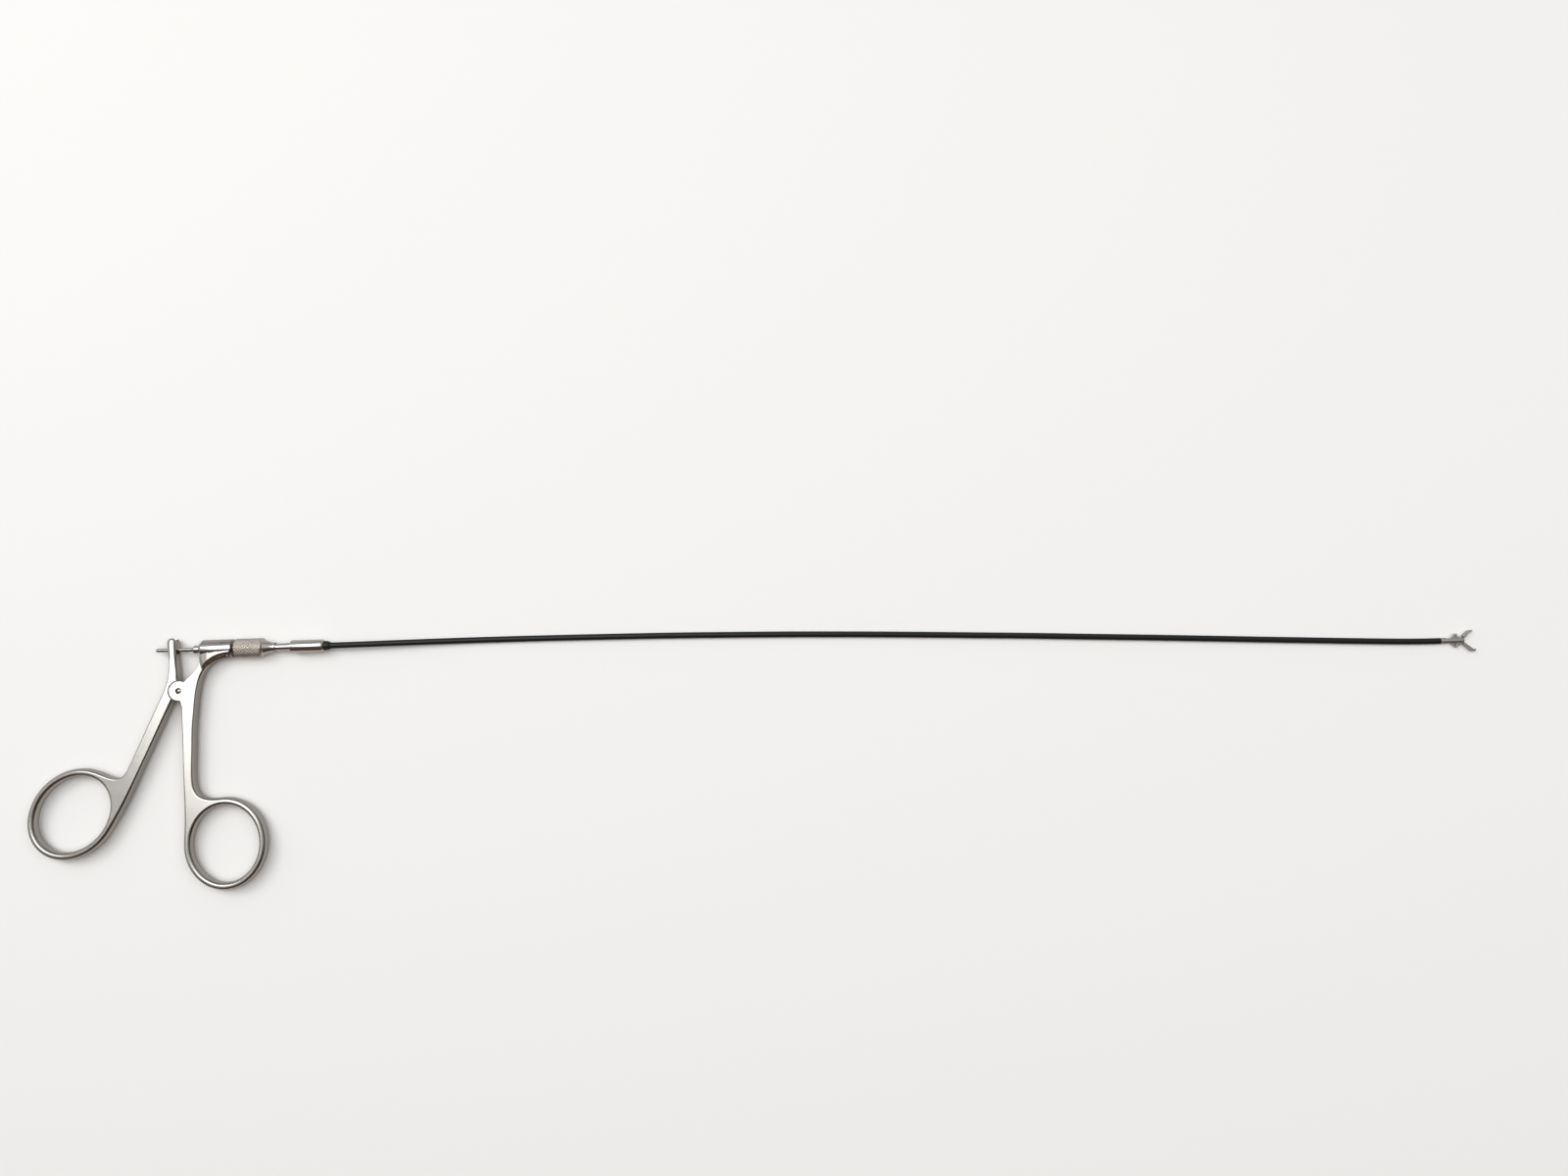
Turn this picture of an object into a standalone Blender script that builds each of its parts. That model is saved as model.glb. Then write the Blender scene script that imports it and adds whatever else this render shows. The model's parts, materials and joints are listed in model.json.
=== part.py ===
"""Flexible grasping forceps: a ring handle, a slim flexible shaft and two hooked jaws.

Lengths are written in millimetres and angles in degrees; MM turns a length into metres.
Everything is laid out from the handle's pivot: X runs along the barrel towards the jaws,
Y away from the finger rings, Z up from the table.  One empty then carries the whole model
so that its origin is the middle of the box, on the table.
"""

import math

import bmesh
import bpy
import numpy as np
from mathutils import Matrix, Vector

MM = 0.001

# Handle, common to both halves
HANDLE_THICKNESS = 4.0
ROD_OFFSET = 13.0
RING_BAND = 2.4
RING_EDGE = 1.05
SHANK_EDGE = 0.5
EDGE_HEIGHT_RATIO = 1.5

# Handle pivot: two ears of the fixed half lie flush in round recesses of the lever
EAR_RADIUS = 3.2
EAR_CLEARANCE = 0.15
EAR_EDGE = 0.25
WEB_THICKNESS = 1.6
WEB_CLEARANCE = 0.1
WEB_DISC_RADIUS = 3.05
PIVOT_PIN_RADIUS = 0.9
PIVOT_PIN_CLEARANCE = 0.05
PIVOT_PIN_RECESS = 0.1

# Lever
MOVING_RING_CENTRE = (-32.7, -37.4)
MOVING_RING_SEMI = (11.8, 13.95)
MOVING_RING_TURN = -44.7
LEVER_SHANK_TURN = 24.1
LEVER_SHANK_OFFSET = 2.6
LEVER_SHANK_WIDTH = 3.7
LEVER_SHANK_START = 3.4
LEVER_SHANK_END = 28.0
LEVER_INNER_LEAD = 2.0
ARM_X = -2.75
ARM_TIP_REACH = 2.35
ARM_TIP_WIDTH = 2.7
ARM_TIP_EDGE = 0.65
ARM_NECK = (-2.2, 9.3)
ARM_NECK_WIDTH = 2.3

# Fixed half
FIXED_RING_CENTRE = (15.1, -47.8)
FIXED_RING_SEMI = (11.7, 13.1)
FIXED_RING_TURN = 4.0
FIXED_SHANK_TOP = (3.0, -9.0)
FIXED_SHANK_TOP_WIDTH = 3.9
FIXED_SHANK_LOW = (3.25, -22.0)
FIXED_SHANK_LOW_WIDTH = 3.1

# Barrel, turned in one with the fixed half
BARREL_REAR = 6.0
BARREL_LENGTH = 10.4
BARREL_RADIUS = 2.9
BARREL_CHAMFER = 0.9
SPIGOT_LENGTH = 6.0
SPIGOT_RADIUS = 2.1
SOCKET_DEPTH = 3.2
SOCKET_RADIUS = 1.75
GUSSET_LENGTH = 10.0
GUSSET_LAP = 0.1
GUSSET_EDGES = (0.5, 0.5, 0.5, 0.6, 0.6, 0.9)
GUSSET_SLANTS = (0.0, 0.0, 0.0, 0.4, 1.0, 1.0)
PAD_INSET = 0.7
PAD_START = 7.9
PAD_SKEW = 2.9
PAD_RUN = 3.4
PAD_RISES = (0.45, 0.62, 0.7, 0.75, 0.8)
WEB_LAP = 0.5
WEB_INSET = 0.35
WEB_DROP = 1.3
WEB_STEP = 0.85
WEB_SHORT_OF_AXIS = 0.4

# Pull rod and the trunnion that the lever's fork holds
ROD_TAIL_RADIUS = 0.65
ROD_TAIL_STICKOUT = 4.2
ROD_RADIUS = 1.3
ROD_CLEARANCE = 0.06
ROD_SHOWN = 2.0
ROD_CONE = 0.6
ROD_INSIDE = 10.3
FORK_GAP = 2.0
FORK_FLOOR_DROP = 0.35
TRUNNION_RADIUS = 1.1
TRUNNION_STUB_RADIUS = 0.45
TRUNNION_STUB_LENGTH = 0.5
TRUNNION_CLEARANCE = 0.05
KEY_PIN_RADIUS = 0.25
KEY_PIN_FROM_FRONT = 2.8
KEY_PIN_TURN = 36.0
KEYWAY_DEPTH = 0.3
KEY_CLEARANCE = 0.04

# Knurled clamping nut with its smooth nose, and the collet inside it
NUT_GAP = 0.7
NUT_RADIUS = 3.0
KNURL_LENGTH = 9.1
KNURL_DEPTH = 0.16
KNURL_ROUND = 20
KNURL_ROWS = 8
NUT_CHAMFER = 0.45
NOSE_LENGTH = 3.6
NOSE_BASE_RADIUS = 2.35
NOSE_TIP_RADIUS = 1.5
NOSE_LIP = 0.9
THREAD_CLEARANCE = 0.1
COLLET_CLEARANCE = 0.08
COLLET_CONE_LENGTH = 3.0
COLLET_SLIT = 0.25

# Neck tube, ferrule and black bead
NECK_RADIUS = 1.15
NECK_WALL = 0.35
NECK_SHOWN = 5.0
NECK_CLEARANCE = 0.05
NECK_IN_FERRULE = 4.2
FERRULE_LENGTH = 10.3
FERRULE_RADIUS = 2.0
FERRULE_CHAMFER = 0.6
BEAD_GAP = 0.1
BEAD_LENGTH = 1.8
BEAD_RADIUS = 1.5
BEAD_END_RADIUS = 1.15

# Flexible shaft: a black jacket over a closely wound coil, with the pull wire in it
SHEATH_RADIUS = 0.95
SHEATH_WALL = 0.12
SHEATH_CLEARANCE = 0.05
COIL_CLEARANCE = 0.05
COIL_WALL = 0.25
WIRE_RADIUS = 0.25
WIRE_CLEARANCE = 0.05
SHAFT_STATIONS = 64

# The shaft's route from the bead's front: share of its length along the barrel, then how far
# sideways and down from the barrel's axis.  It leaves level, comes down onto the table and
# lies there in one long shallow bow.
SHAFT_LENGTH = 353.0
SHAFT_ROUTE = (
    (0.0, 0.0, 0.0),
    (0.0227, 0.03, -0.04),
    (0.0510, 0.15, -0.42),
    (0.0793, 0.27, -1.05),
    (0.1076, 0.36, -1.6),
    (0.1360, 0.4, -1.92),
    (0.1700, 0.4, -2.02),
    (0.2125, 0.32, -2.03),
    (0.2578, 0.18, -2.03),
    (0.3116, -0.04, -2.03),
    (0.3654, -0.4, -2.03),
    (0.4193, -0.84, -2.03),
    (0.4731, -1.42, -2.03),
    (0.5269, -2.1, -2.03),
    (0.5807, -2.85, -2.03),
    (0.6346, -3.62, -2.03),
    (0.6856, -4.45, -2.03),
    (0.7365, -5.25, -2.03),
    (0.7875, -6.1, -2.03),
    (0.8385, -6.97, -2.03),
    (0.8924, -7.86, -2.03),
    (0.9405, -8.63, -2.03),
    (0.9660, -8.98, -2.03),
    (0.9858, -9.15, -2.03),
    (1.0, -9.18, -2.03),
)

# Distal clevis, its pin, and the sliding fork on the wire's end
CLEVIS_RADIUS = 0.95
CLEVIS_LENGTH = 7.3
CLEVIS_BEYOND_PIN = 0.6
CLEVIS_CHAMFER = 0.15
CLEVIS_SPIGOT_LENGTH = 2.3
CLEVIS_SPIGOT_RADIUS = 0.72
CLEVIS_BORE_RADIUS = 0.6
CLEVIS_SLOT_HALF = 0.62
CLEVIS_SLOT_LENGTH = 5.3
JAW_PIN_RADIUS = 0.25
SMALL_CLEARANCE = 0.03
BLOCK_CLEARANCE = 0.04
BLOCK_REAR = 1.4
BLOCK_FRONT = 0.4
BLOCK_BORE_DEPTH = 0.7
BLOCK_CHEEK_GAP = 0.66
LINK_PIN_RADIUS = 0.15

# Jaws and links: each jaw is one lever with its tail, and a link joins the tail to the fork
TAIL_LENGTH = 2.5
TAIL_OPEN = 47.5
JAW_SWING = 38.0
LINK_LENGTH = 2.7
LAYER_THICKNESS = 0.27
LAYER_GAP = 0.06
TAIL_WIDTH = 0.76
JAW_EYE_RADIUS = 0.5
JAW_HALF_WIDTH = 0.75
JAW_ROOT = 1.0
JAW_SHOULDER = 1.2
JAW_FACE_GAP = 0.03
UPPER_JAW = {"length": 4.6, "depth": 0.95, "hollow": 0.34, "tooth": 0.0}
LOWER_JAW = {"length": 5.2, "depth": 0.72, "hollow": 0.06, "tooth": 0.42}
LINK_WIDTH = 0.6
LINK_EYE_RADIUS = 0.42
RIVET_RADIUS = 0.16
RIVET_HEAD_RADIUS = 0.4
RIVET_HEAD_THICKNESS = 0.12
RIVET_PLAY = 0.04

# Corners closer than this are one corner
WELD_DISTANCE = 0.003

# Values worked out from the sizes above
AXIS_Z = NUT_RADIUS
HALF_THICK = HANDLE_THICKNESS / 2
EAR_POCKET_RADIUS = EAR_RADIUS + EAR_CLEARANCE
WEB_HALF = WEB_THICKNESS / 2
SLOT_HALF = WEB_HALF + WEB_CLEARANCE
BARREL_FRONT = BARREL_REAR + BARREL_LENGTH
SPIGOT_END = BARREL_FRONT + SPIGOT_LENGTH
NUT_REAR = BARREL_FRONT + NUT_GAP
NOSE_START = NUT_REAR + KNURL_LENGTH
NOSE_END = NOSE_START + NOSE_LENGTH
ROD_SHOULDER = BARREL_REAR - ROD_SHOWN
ROD_FRONT = BARREL_REAR + ROD_INSIDE
ROD_TAIL_END = ARM_X - ARM_TIP_WIDTH / 2 - ROD_TAIL_STICKOUT
FERRULE_REAR = NOSE_END + NECK_SHOWN
FERRULE_FRONT = FERRULE_REAR + FERRULE_LENGTH
NECK_END = FERRULE_REAR + NECK_IN_FERRULE
NECK_REAR = ROD_FRONT + 0.7
BEAD_REAR = FERRULE_FRONT + BEAD_GAP
SHAFT_EXIT = BEAD_REAR + BEAD_LENGTH
SHEATH_REAR = NECK_END + 0.6
COIL_RADIUS = SHEATH_RADIUS - SHEATH_WALL / math.cos(math.pi / 8) - COIL_CLEARANCE
BLOCK_RADIUS = CLEVIS_BORE_RADIUS - BLOCK_CLEARANCE
LAYER_LOW = LAYER_GAP / 2
LAYER_HIGH = LAYER_LOW + LAYER_THICKNESS

STEEL_SATIN = ("satin_steel", (0.60, 0.59, 0.57), 0.38, 1.0)
STEEL_POLISHED = ("polished_steel", (0.72, 0.71, 0.70), 0.12, 1.0)
STEEL_KNURLED = ("knurled_steel", (0.58, 0.54, 0.50), 0.35, 1.0)
STEEL_JAW = ("jaw_steel", (0.42, 0.41, 0.40), 0.38, 1.0)
BLACK_JACKET = ("black_jacket", (0.012, 0.012, 0.013), 0.45, 0.0)
BLACK_BEAD = ("black_bead", (0.015, 0.015, 0.015), 0.35, 0.0)


def clear_scene():
    """Remove whatever the file holds, so that the model stands alone."""
    for old in list(bpy.data.objects):
        bpy.data.objects.remove(old, do_unlink=True)


def material(finish, name):
    """A Principled material for one sub-part, from its finish."""
    label, colour, roughness, metallic = finish
    mat = bpy.data.materials.new(f"{name}_{label}")
    mat.use_nodes = True
    shader = mat.node_tree.nodes["Principled BSDF"]
    shader.inputs["Base Color"].default_value = (*colour, 1.0)
    shader.inputs["Roughness"].default_value = roughness
    shader.inputs["Metallic"].default_value = metallic
    return mat


def add_object(name, bm, finish, place=(0, 0, 0), turn=0.0):
    """Put a finished bmesh, still in millimetres, into the scene under the frame empty."""
    bmesh.ops.recalc_face_normals(bm, faces=bm.faces[:])
    bmesh.ops.scale(bm, vec=(MM, MM, MM), verts=bm.verts[:])
    mesh = bpy.data.meshes.new(name)
    bm.to_mesh(mesh)
    bm.free()
    obj = bpy.data.objects.new(name, mesh)
    bpy.context.scene.collection.objects.link(obj)
    obj.parent = FRAME
    obj.location = Vector(place) * MM
    obj.rotation_euler = (0, 0, math.radians(turn))
    if finish:
        mesh.materials.append(material(finish, name))
    mesh.shade_smooth()
    mesh.set_sharp_from_angle(angle=math.radians(35))
    return obj


def boolean(obj, bm, operation="DIFFERENCE"):
    """Cut a shape from an object, or join it on; the shape shares the object's place."""
    tool = add_object(f"{obj.name}_{operation.lower()}_{len(obj.modifiers)}", bm, None)
    tool.location = obj.location
    tool.rotation_euler = obj.rotation_euler
    tool.hide_render = True
    tool.display_type = "WIRE"
    change = obj.modifiers.new(tool.name, "BOOLEAN")
    change.operation = operation
    change.solver = "EXACT"
    change.object = tool
    weld = obj.modifiers.new(f"{tool.name}_weld", "WELD")
    weld.merge_threshold = WELD_DISTANCE * MM


def turned(profile, sides=24, axis="X", place=(0, 0, 0)):
    """Turn a profile of (along, radius) points about an axis.

    A profile that starts and ends on the axis is a solid; any other one is a closed ring.
    """
    bm = bmesh.new()
    rows = []
    for along, radius in profile:
        if radius == 0:
            rows.append([bm.verts.new((along, 0, 0))])
            continue
        angles = [2 * math.pi * i / sides for i in range(sides)]
        rows.append([bm.verts.new((along, radius * math.cos(a), radius * math.sin(a))) for a in angles])
    solid = profile[0][1] == 0
    pairs = list(zip(rows, rows[1:])) + ([] if solid else [(rows[-1], rows[0])])
    for low, high in pairs:
        for i in range(sides):
            j = (i + 1) % sides
            corners = [low[i % len(low)], low[j % len(low)], high[j % len(high)], high[i % len(high)]]
            bm.faces.new(list(dict.fromkeys(corners)))
    if axis == "Z":
        bmesh.ops.rotate(bm, cent=(0, 0, 0), matrix=Matrix.Rotation(-math.pi / 2, 3, "Y"), verts=bm.verts[:])
    bmesh.ops.translate(bm, vec=Vector(place), verts=bm.verts[:])
    return bm


def box(low, high):
    """A block between two corners."""
    bm = bmesh.new()
    bmesh.ops.create_cube(bm, size=1.0)
    size = Vector(high) - Vector(low)
    middle = (Vector(high) + Vector(low)) / 2
    bmesh.ops.scale(bm, vec=size, verts=bm.verts[:])
    bmesh.ops.translate(bm, vec=middle, verts=bm.verts[:])
    return bm


def arc(centre, radius, start, end, count):
    """Points on a circle from one angle to another."""
    angles = np.radians(np.linspace(start, end, count))
    return np.stack([centre[0] + radius * np.cos(angles), centre[1] + radius * np.sin(angles)], 1)


def oval(centre, semi, turn, start, end, count):
    """Points on a turned ellipse, by its own parameter."""
    angles = np.radians(np.linspace(start, end, count))
    u, v = semi[0] * np.cos(angles), semi[1] * np.sin(angles)
    c, s = math.cos(math.radians(turn)), math.sin(math.radians(turn))
    return np.stack([centre[0] + u * c - v * s, centre[1] + u * s + v * c], 1)


def unit(vector):
    """A vector of length one."""
    vector = np.asarray(vector, float)
    return vector / np.linalg.norm(vector)


def blend(start, start_way, end, end_way, count, pull=(0.4, 0.4)):
    """A cubic curve between two points that leaves and arrives along given directions."""
    start, end = np.asarray(start, float), np.asarray(end, float)
    reach = np.linalg.norm(end - start)
    a = start + unit(start_way) * reach * pull[0]
    b = end - unit(end_way) * reach * pull[1]
    t = np.linspace(0, 1, count)[:, None]
    return (1 - t) ** 3 * start + 3 * t * (1 - t) ** 2 * a + 3 * t**2 * (1 - t) * b + t**3 * end


def spread(values, count):
    """Values shared out evenly over a count of points."""
    return np.interp(np.linspace(0, 1, count), np.linspace(0, 1, len(values)), values)


def outline(*stretches):
    """Join stretches of (points, edges, slants) into one loop of (x, y, edge, slant) rows.

    A stretch without slants has none; see plate for what edge and slant mean.
    """
    rows = []
    for points, edges, *slants in stretches:
        slant = spread(slants[0] if slants else (0, 0), len(points))
        rows.append(np.column_stack([points, spread(edges, len(points)), slant]))
    loop = np.vstack(rows)
    step = np.linalg.norm(loop[:, :2] - np.roll(loop[:, :2], 1, axis=0), axis=1)
    return loop[step > 0.08]


def plate(outer, holes, low, high, steps=2):
    """A flat piece with rounded edges, from an outline (anticlockwise) and holes (clockwise).

    Each loop is (x, y, edge, slant): the edge is a corner that deep in plan. For slant 0 it is
    elliptic and EDGE_HEIGHT_RATIO times as tall, for slant 1 straight and just as tall.
    An edge of zero leaves the corner square.
    """
    bm = bmesh.new()
    middle, half = (low + high) / 2, (high - low) / 2
    angles = [math.pi / 2 * i / steps for i in range(steps + 1)]
    levels = [(-1, a) for a in reversed(angles)] + [(1, a) for a in angles]
    square = all(np.all(loop[:, 2] == 0) for loop in [outer, *holes])
    if square:
        levels = [(-1, 0.0), (1, 0.0)]
    caps = {0: [], len(levels) - 1: []}
    for loop in [outer, *holes]:
        edge, slant = loop[:, 2], loop[:, 3]
        ratio = EDGE_HEIGHT_RATIO + (1 - EDGE_HEIGHT_RATIO) * slant
        tall = np.minimum(edge * ratio, half * 0.9)
        ahead = np.roll(loop[:, :2], -1, axis=0) - np.roll(loop[:, :2], 1, axis=0)
        ahead /= np.linalg.norm(ahead, axis=1)[:, None]
        inward = np.stack([-ahead[:, 1], ahead[:, 0]], 1)
        rows = []
        for side, angle in levels:
            straight = angle / (math.pi / 2)
            inset = edge * ((1 - math.cos(angle)) * (1 - slant) + straight * slant)
            drop = tall * ((1 - math.sin(angle)) * (1 - slant) + (1 - straight) * slant)
            z = middle + side * (half - drop)
            xy = loop[:, :2] + inward * inset[:, None]
            rows.append([bm.verts.new((x, y, h)) for (x, y), h in zip(xy, z)])
        for below, above in zip(rows, rows[1:]):
            for i in range(len(below)):
                j = (i + 1) % len(below)
                bm.faces.new((below[i], below[j], above[j], above[i]))
        for level in caps:
            ring = rows[level]
            caps[level] += [bm.edges.get((ring[i], ring[(i + 1) % len(ring)])) for i in range(len(ring))]
    for edges in caps.values():
        bmesh.ops.triangle_fill(bm, edges=edges, use_beauty=True)
    return bm


def flat_loop(points):
    """An outline with square edges."""
    return np.column_stack([points, np.zeros((len(points), 2))])


def stadium(start, end, radius, count=12):
    """A slot's outline: two half circles about two points, joined by straight sides."""
    way = math.degrees(math.atan2(end[1] - start[1], end[0] - start[0]))
    near = arc(start, radius, way + 90, way + 270, count)
    far = arc(end, radius, way - 90, way + 90, count)
    return np.vstack([near, far])


def linkage(share):
    """Where the jaw linkage stands when the jaws are closed by a share of their swing.

    Returns the tail's angle off the axis, the fork's distance behind the jaw pin as the
    straight-line travel gives it, and the link's angle off the axis.
    """
    ends = []
    for tail in (TAIL_OPEN, TAIL_OPEN - JAW_SWING):
        across = TAIL_LENGTH * math.sin(math.radians(tail))
        along = math.sqrt(LINK_LENGTH**2 - across**2)
        behind = TAIL_LENGTH * math.cos(math.radians(tail)) + along
        ends.append((behind, math.degrees(math.asin(across / LINK_LENGTH))))
    (fork_open, link_open), (fork_closed, link_closed) = ends
    fork = fork_open + (fork_closed - fork_open) * share
    link = link_open + (link_closed - link_open) * share
    return TAIL_OPEN - JAW_SWING * share, fork, link


def link_slack():
    """How far the tail's rivet runs back along the link, and aside, as the jaws close."""
    along, aside = [0.0], [0.0]
    for share in np.linspace(0, 1, 21):
        tail, fork, link = linkage(share)
        tail, link = math.radians(tail), math.radians(link)
        x = fork - TAIL_LENGTH * math.cos(tail)
        y = TAIL_LENGTH * math.sin(tail)
        along.append(LINK_LENGTH - (x * math.cos(link) + y * math.sin(link)))
        aside.append(abs(-x * math.sin(link) + y * math.cos(link)))
    return max(along), max(aside)


FORK_OPEN = linkage(0)[1]
ROD_STROKE = linkage(1)[1] - FORK_OPEN
LINK_OPEN = linkage(0)[2]
LINK_CLOSED = linkage(1)[2]
LEVER_SWING = math.degrees(ROD_STROKE / ROD_OFFSET)
SHAFT_END = SHAFT_EXIT + SHAFT_LENGTH
JAW_PIN_X = SHAFT_END + CLEVIS_LENGTH - CLEVIS_BEYOND_PIN
JAW_Y = ROD_OFFSET + SHAFT_ROUTE[-1][1]
JAW_Z = AXIS_Z + SHAFT_ROUTE[-1][2]


def ring_hole(centre, semi, turn):
    """The finger hole's loop, clockwise, with the band's rounded inner edge."""
    inner = [s - RING_BAND / 2 for s in semi]
    points = oval(centre, inner, turn, 360, 0, 57)[:-1]
    return np.column_stack([points, np.full(len(points), RING_EDGE), np.zeros(len(points))])


def lever_outline():
    """The lever in plan: forked arm, shank, ring, and the web disc about the pivot."""
    turn = math.radians(LEVER_SHANK_TURN)
    down = np.array([-math.sin(turn), -math.cos(turn)])
    left = np.array([-math.cos(turn), math.sin(turn)])

    def shank(along, side):
        return left * (LEVER_SHANK_OFFSET + side * LEVER_SHANK_WIDTH / 2) + down * along

    tip = np.array([ARM_X, ROD_OFFSET + ARM_TIP_REACH])
    neck = np.array(ARM_NECK)
    half_tip, half_neck = ARM_TIP_WIDTH / 2, ARM_NECK_WIDTH / 2
    outer = [s + RING_BAND / 2 for s in MOVING_RING_SEMI]
    ring = oval(MOVING_RING_CENTRE, outer, MOVING_RING_TURN, 113, 378, 60)
    left_top, left_low = shank(LEVER_SHANK_START, 1), shank(LEVER_SHANK_END, 1)
    right_top, right_low = shank(LEVER_SHANK_START, -1), shank(LEVER_SHANK_END - LEVER_INNER_LEAD, -1)
    disc_start = math.degrees(math.atan2(*right_top[::-1]))
    disc = arc((0, 0), WEB_DISC_RADIUS, disc_start + 4, 100, 24)
    side, round_tip = SHANK_EDGE, ARM_TIP_EDGE
    return outline(
        (arc(tip, half_tip, 0, 180, 13), (round_tip, round_tip)),
        (blend(tip - (half_tip, 0), (0.02, -1), neck - (half_neck, 0), (0, -1), 5), (round_tip, side, side)),
        (blend(neck - (half_neck, 0), (0, -1), left_top, down, 8), (side, side)),
        (blend(left_top, down, left_low, down, 7), (side, side)),
        (blend(left_low, down, ring[0], ring[1] - ring[0], 14, (0.55, 0.42)), (side, RING_EDGE)),
        (ring, (RING_EDGE, RING_EDGE)),
        (blend(ring[-1], ring[-1] - ring[-2], right_low, -down, 10), (RING_EDGE, side)),
        (blend(right_low, -down, right_top, -down, 7), (side, side)),
        (disc, (side * 0.4, side * 0.4)),
        (blend(disc[-1] + (0, 0.6), (0, 1), neck + (half_neck, 0), (-0.1, 1), 7), (side, side)),
        (blend(neck + (half_neck, 0), (-0.1, 1), tip + (half_tip, 0), (0, 1), 5), (side, side, round_tip)),
    )


def beside(middle, width):
    """The two points half a width left and right of a middle."""
    return [(middle[0] + side * width / 2, middle[1]) for side in (-1, 1)]


def gusset_curve():
    """The hollow curve that leads from the shank's right side along the barrel."""
    start = beside(FIXED_SHANK_TOP, FIXED_SHANK_TOP_WIDTH)[1]
    end = (BARREL_REAR + GUSSET_LENGTH, ROD_OFFSET - BARREL_RADIUS + GUSSET_LAP)
    return blend(start, (0.107, 1), end, (1, 0), 16, (0.315, 0.52))


def gusset_pad(side):
    """The gusset's raised face that runs onto the barrel, above for side 1 and below for side -1.

    Each section across it is the face, the slanted flank beside it and a foot inside the plate.
    """
    curve = gusset_curve()
    ahead = np.gradient(curve, axis=0)
    ahead /= np.linalg.norm(ahead, axis=1)[:, None]
    rim = curve + np.stack([-ahead[:, 1], ahead[:, 0]], 1) * spread(GUSSET_EDGES, len(curve))[:, None]
    places = np.linspace(BARREL_REAR + PAD_INSET, curve[-1][0] - 0.1, 15)
    far = ROD_OFFSET - 0.5
    sections = []
    for x, full in zip(places, spread(PAD_RISES, len(places))):
        low = PAD_START - PAD_SKEW * (x - places[0])
        edge, lean = np.interp(x, rim[:, 0], rim[:, 1]), np.interp(x, rim[:, 0], ahead[:, 0])
        across = np.linspace(edge, far, 400)
        face = np.clip((across - low) / PAD_RUN, 0, 1) * full
        meet = np.argmax((across - edge) * lean >= face)
        crest, rise, foot = across[meet], face[meet], edge + 0.05
        if rise < 0.05:
            crest, rise, foot = low - 0.2, -0.03, low - 0.25
        brow = min(max(low + PAD_RUN, crest + 0.1), far - 0.1)
        height = np.interp(brow, across, face)
        rows = [(far, full), (brow, height), (crest, rise), (foot, min(0, rise - 0.05))]
        rows += [(foot + 0.1, -0.4), (far, -0.4)]
        sections.append([(x, y, AXIS_Z + side * (HALF_THICK + z)) for y, z in rows])
    return loft(sections)


def loft(sections):
    """A closed skin over sections that have the same number of points."""
    bm = bmesh.new()
    rows = [[bm.verts.new(point) for point in section] for section in sections]
    bm.faces.new(rows[0])
    bm.faces.new(rows[-1])
    for near, far in zip(rows, rows[1:]):
        for i in range(len(near)):
            j = (i + 1) % len(near)
            bm.faces.new((near[i], near[j], far[j], far[i]))
    bmesh.ops.triangulate(bm, faces=bm.faces[:])
    bmesh.ops.recalc_face_normals(bm, faces=bm.faces[:])
    return bm


def fixed_outline():
    """The fixed half in plan: ear, shank, ring, gusset and the web under the barrel."""
    outer = [s + RING_BAND / 2 for s in FIXED_RING_SEMI]
    ring = oval(FIXED_RING_CENTRE, outer, FIXED_RING_TURN, 172, 452, 60)
    left_top, right_top = beside(FIXED_SHANK_TOP, FIXED_SHANK_TOP_WIDTH)
    left_low, right_low = beside(FIXED_SHANK_LOW, FIXED_SHANK_LOW_WIDTH)
    ear = arc((0, 0), EAR_RADIUS, 62, 278, 30)
    inside = ROD_OFFSET - WEB_SHORT_OF_AXIS
    barrel_side = ROD_OFFSET - BARREL_RADIUS
    rear = BARREL_REAR + WEB_INSET
    gusset = gusset_curve()
    web_end = (rear, barrel_side - WEB_DROP)
    side, thin = SHANK_EDGE, SHANK_EDGE * 0.3
    return outline(
        (ear, (EAR_EDGE, EAR_EDGE)),
        (blend(ear[-1], (0.4, -1), left_top, (0.03, -1), 6), (EAR_EDGE, side)),
        (blend(left_top, (0.05, -1), left_low, (0.03, -1), 4), (side, side)),
        (blend(left_low, (0.03, -1), ring[0], ring[1] - ring[0], 8), (side, RING_EDGE)),
        (ring, (RING_EDGE, RING_EDGE)),
        (blend(ring[-1], ring[-1] - ring[-2], right_low, (-0.02, 1), 14, (0.6, 0.62)), (RING_EDGE, side)),
        (blend(right_low, (0.02, 1), right_top, (0.06, 1), 5), (side, side)),
        (gusset, GUSSET_EDGES, GUSSET_SLANTS),
        (np.array([(gusset[-1][0], inside), (rear + WEB_STEP, inside)]), (thin, thin)),
        (np.array([(rear, barrel_side + WEB_LAP), web_end]), (thin, side * 0.5)),
        (blend(web_end, (-0.4, -1), ear[0], (-0.7, -0.75), 6)[:-1], (side * 0.5, EAR_EDGE)),
    )


def smooth_route(points, spacing=0.5):
    """A smooth curve through the route's points, sampled closely, by Catmull-Rom stretches."""
    points = np.asarray(points, float)
    padded = np.vstack([2 * points[0] - points[1], points, 2 * points[-1] - points[-2]])
    rows = []
    for p, q, r, s in zip(padded, padded[1:], padded[2:], padded[3:]):
        count = max(4, int(np.linalg.norm(r - q) / spacing))
        t = np.linspace(0, 1, count, endpoint=False)[:, None]
        square, cube = 2 * p - 5 * q + 4 * r - s, 3 * q - p - 3 * r + s
        rows.append(0.5 * (2 * q + (r - p) * t + square * t**2 + cube * t**3))
    return np.vstack([*rows, points[-1:]])


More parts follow.
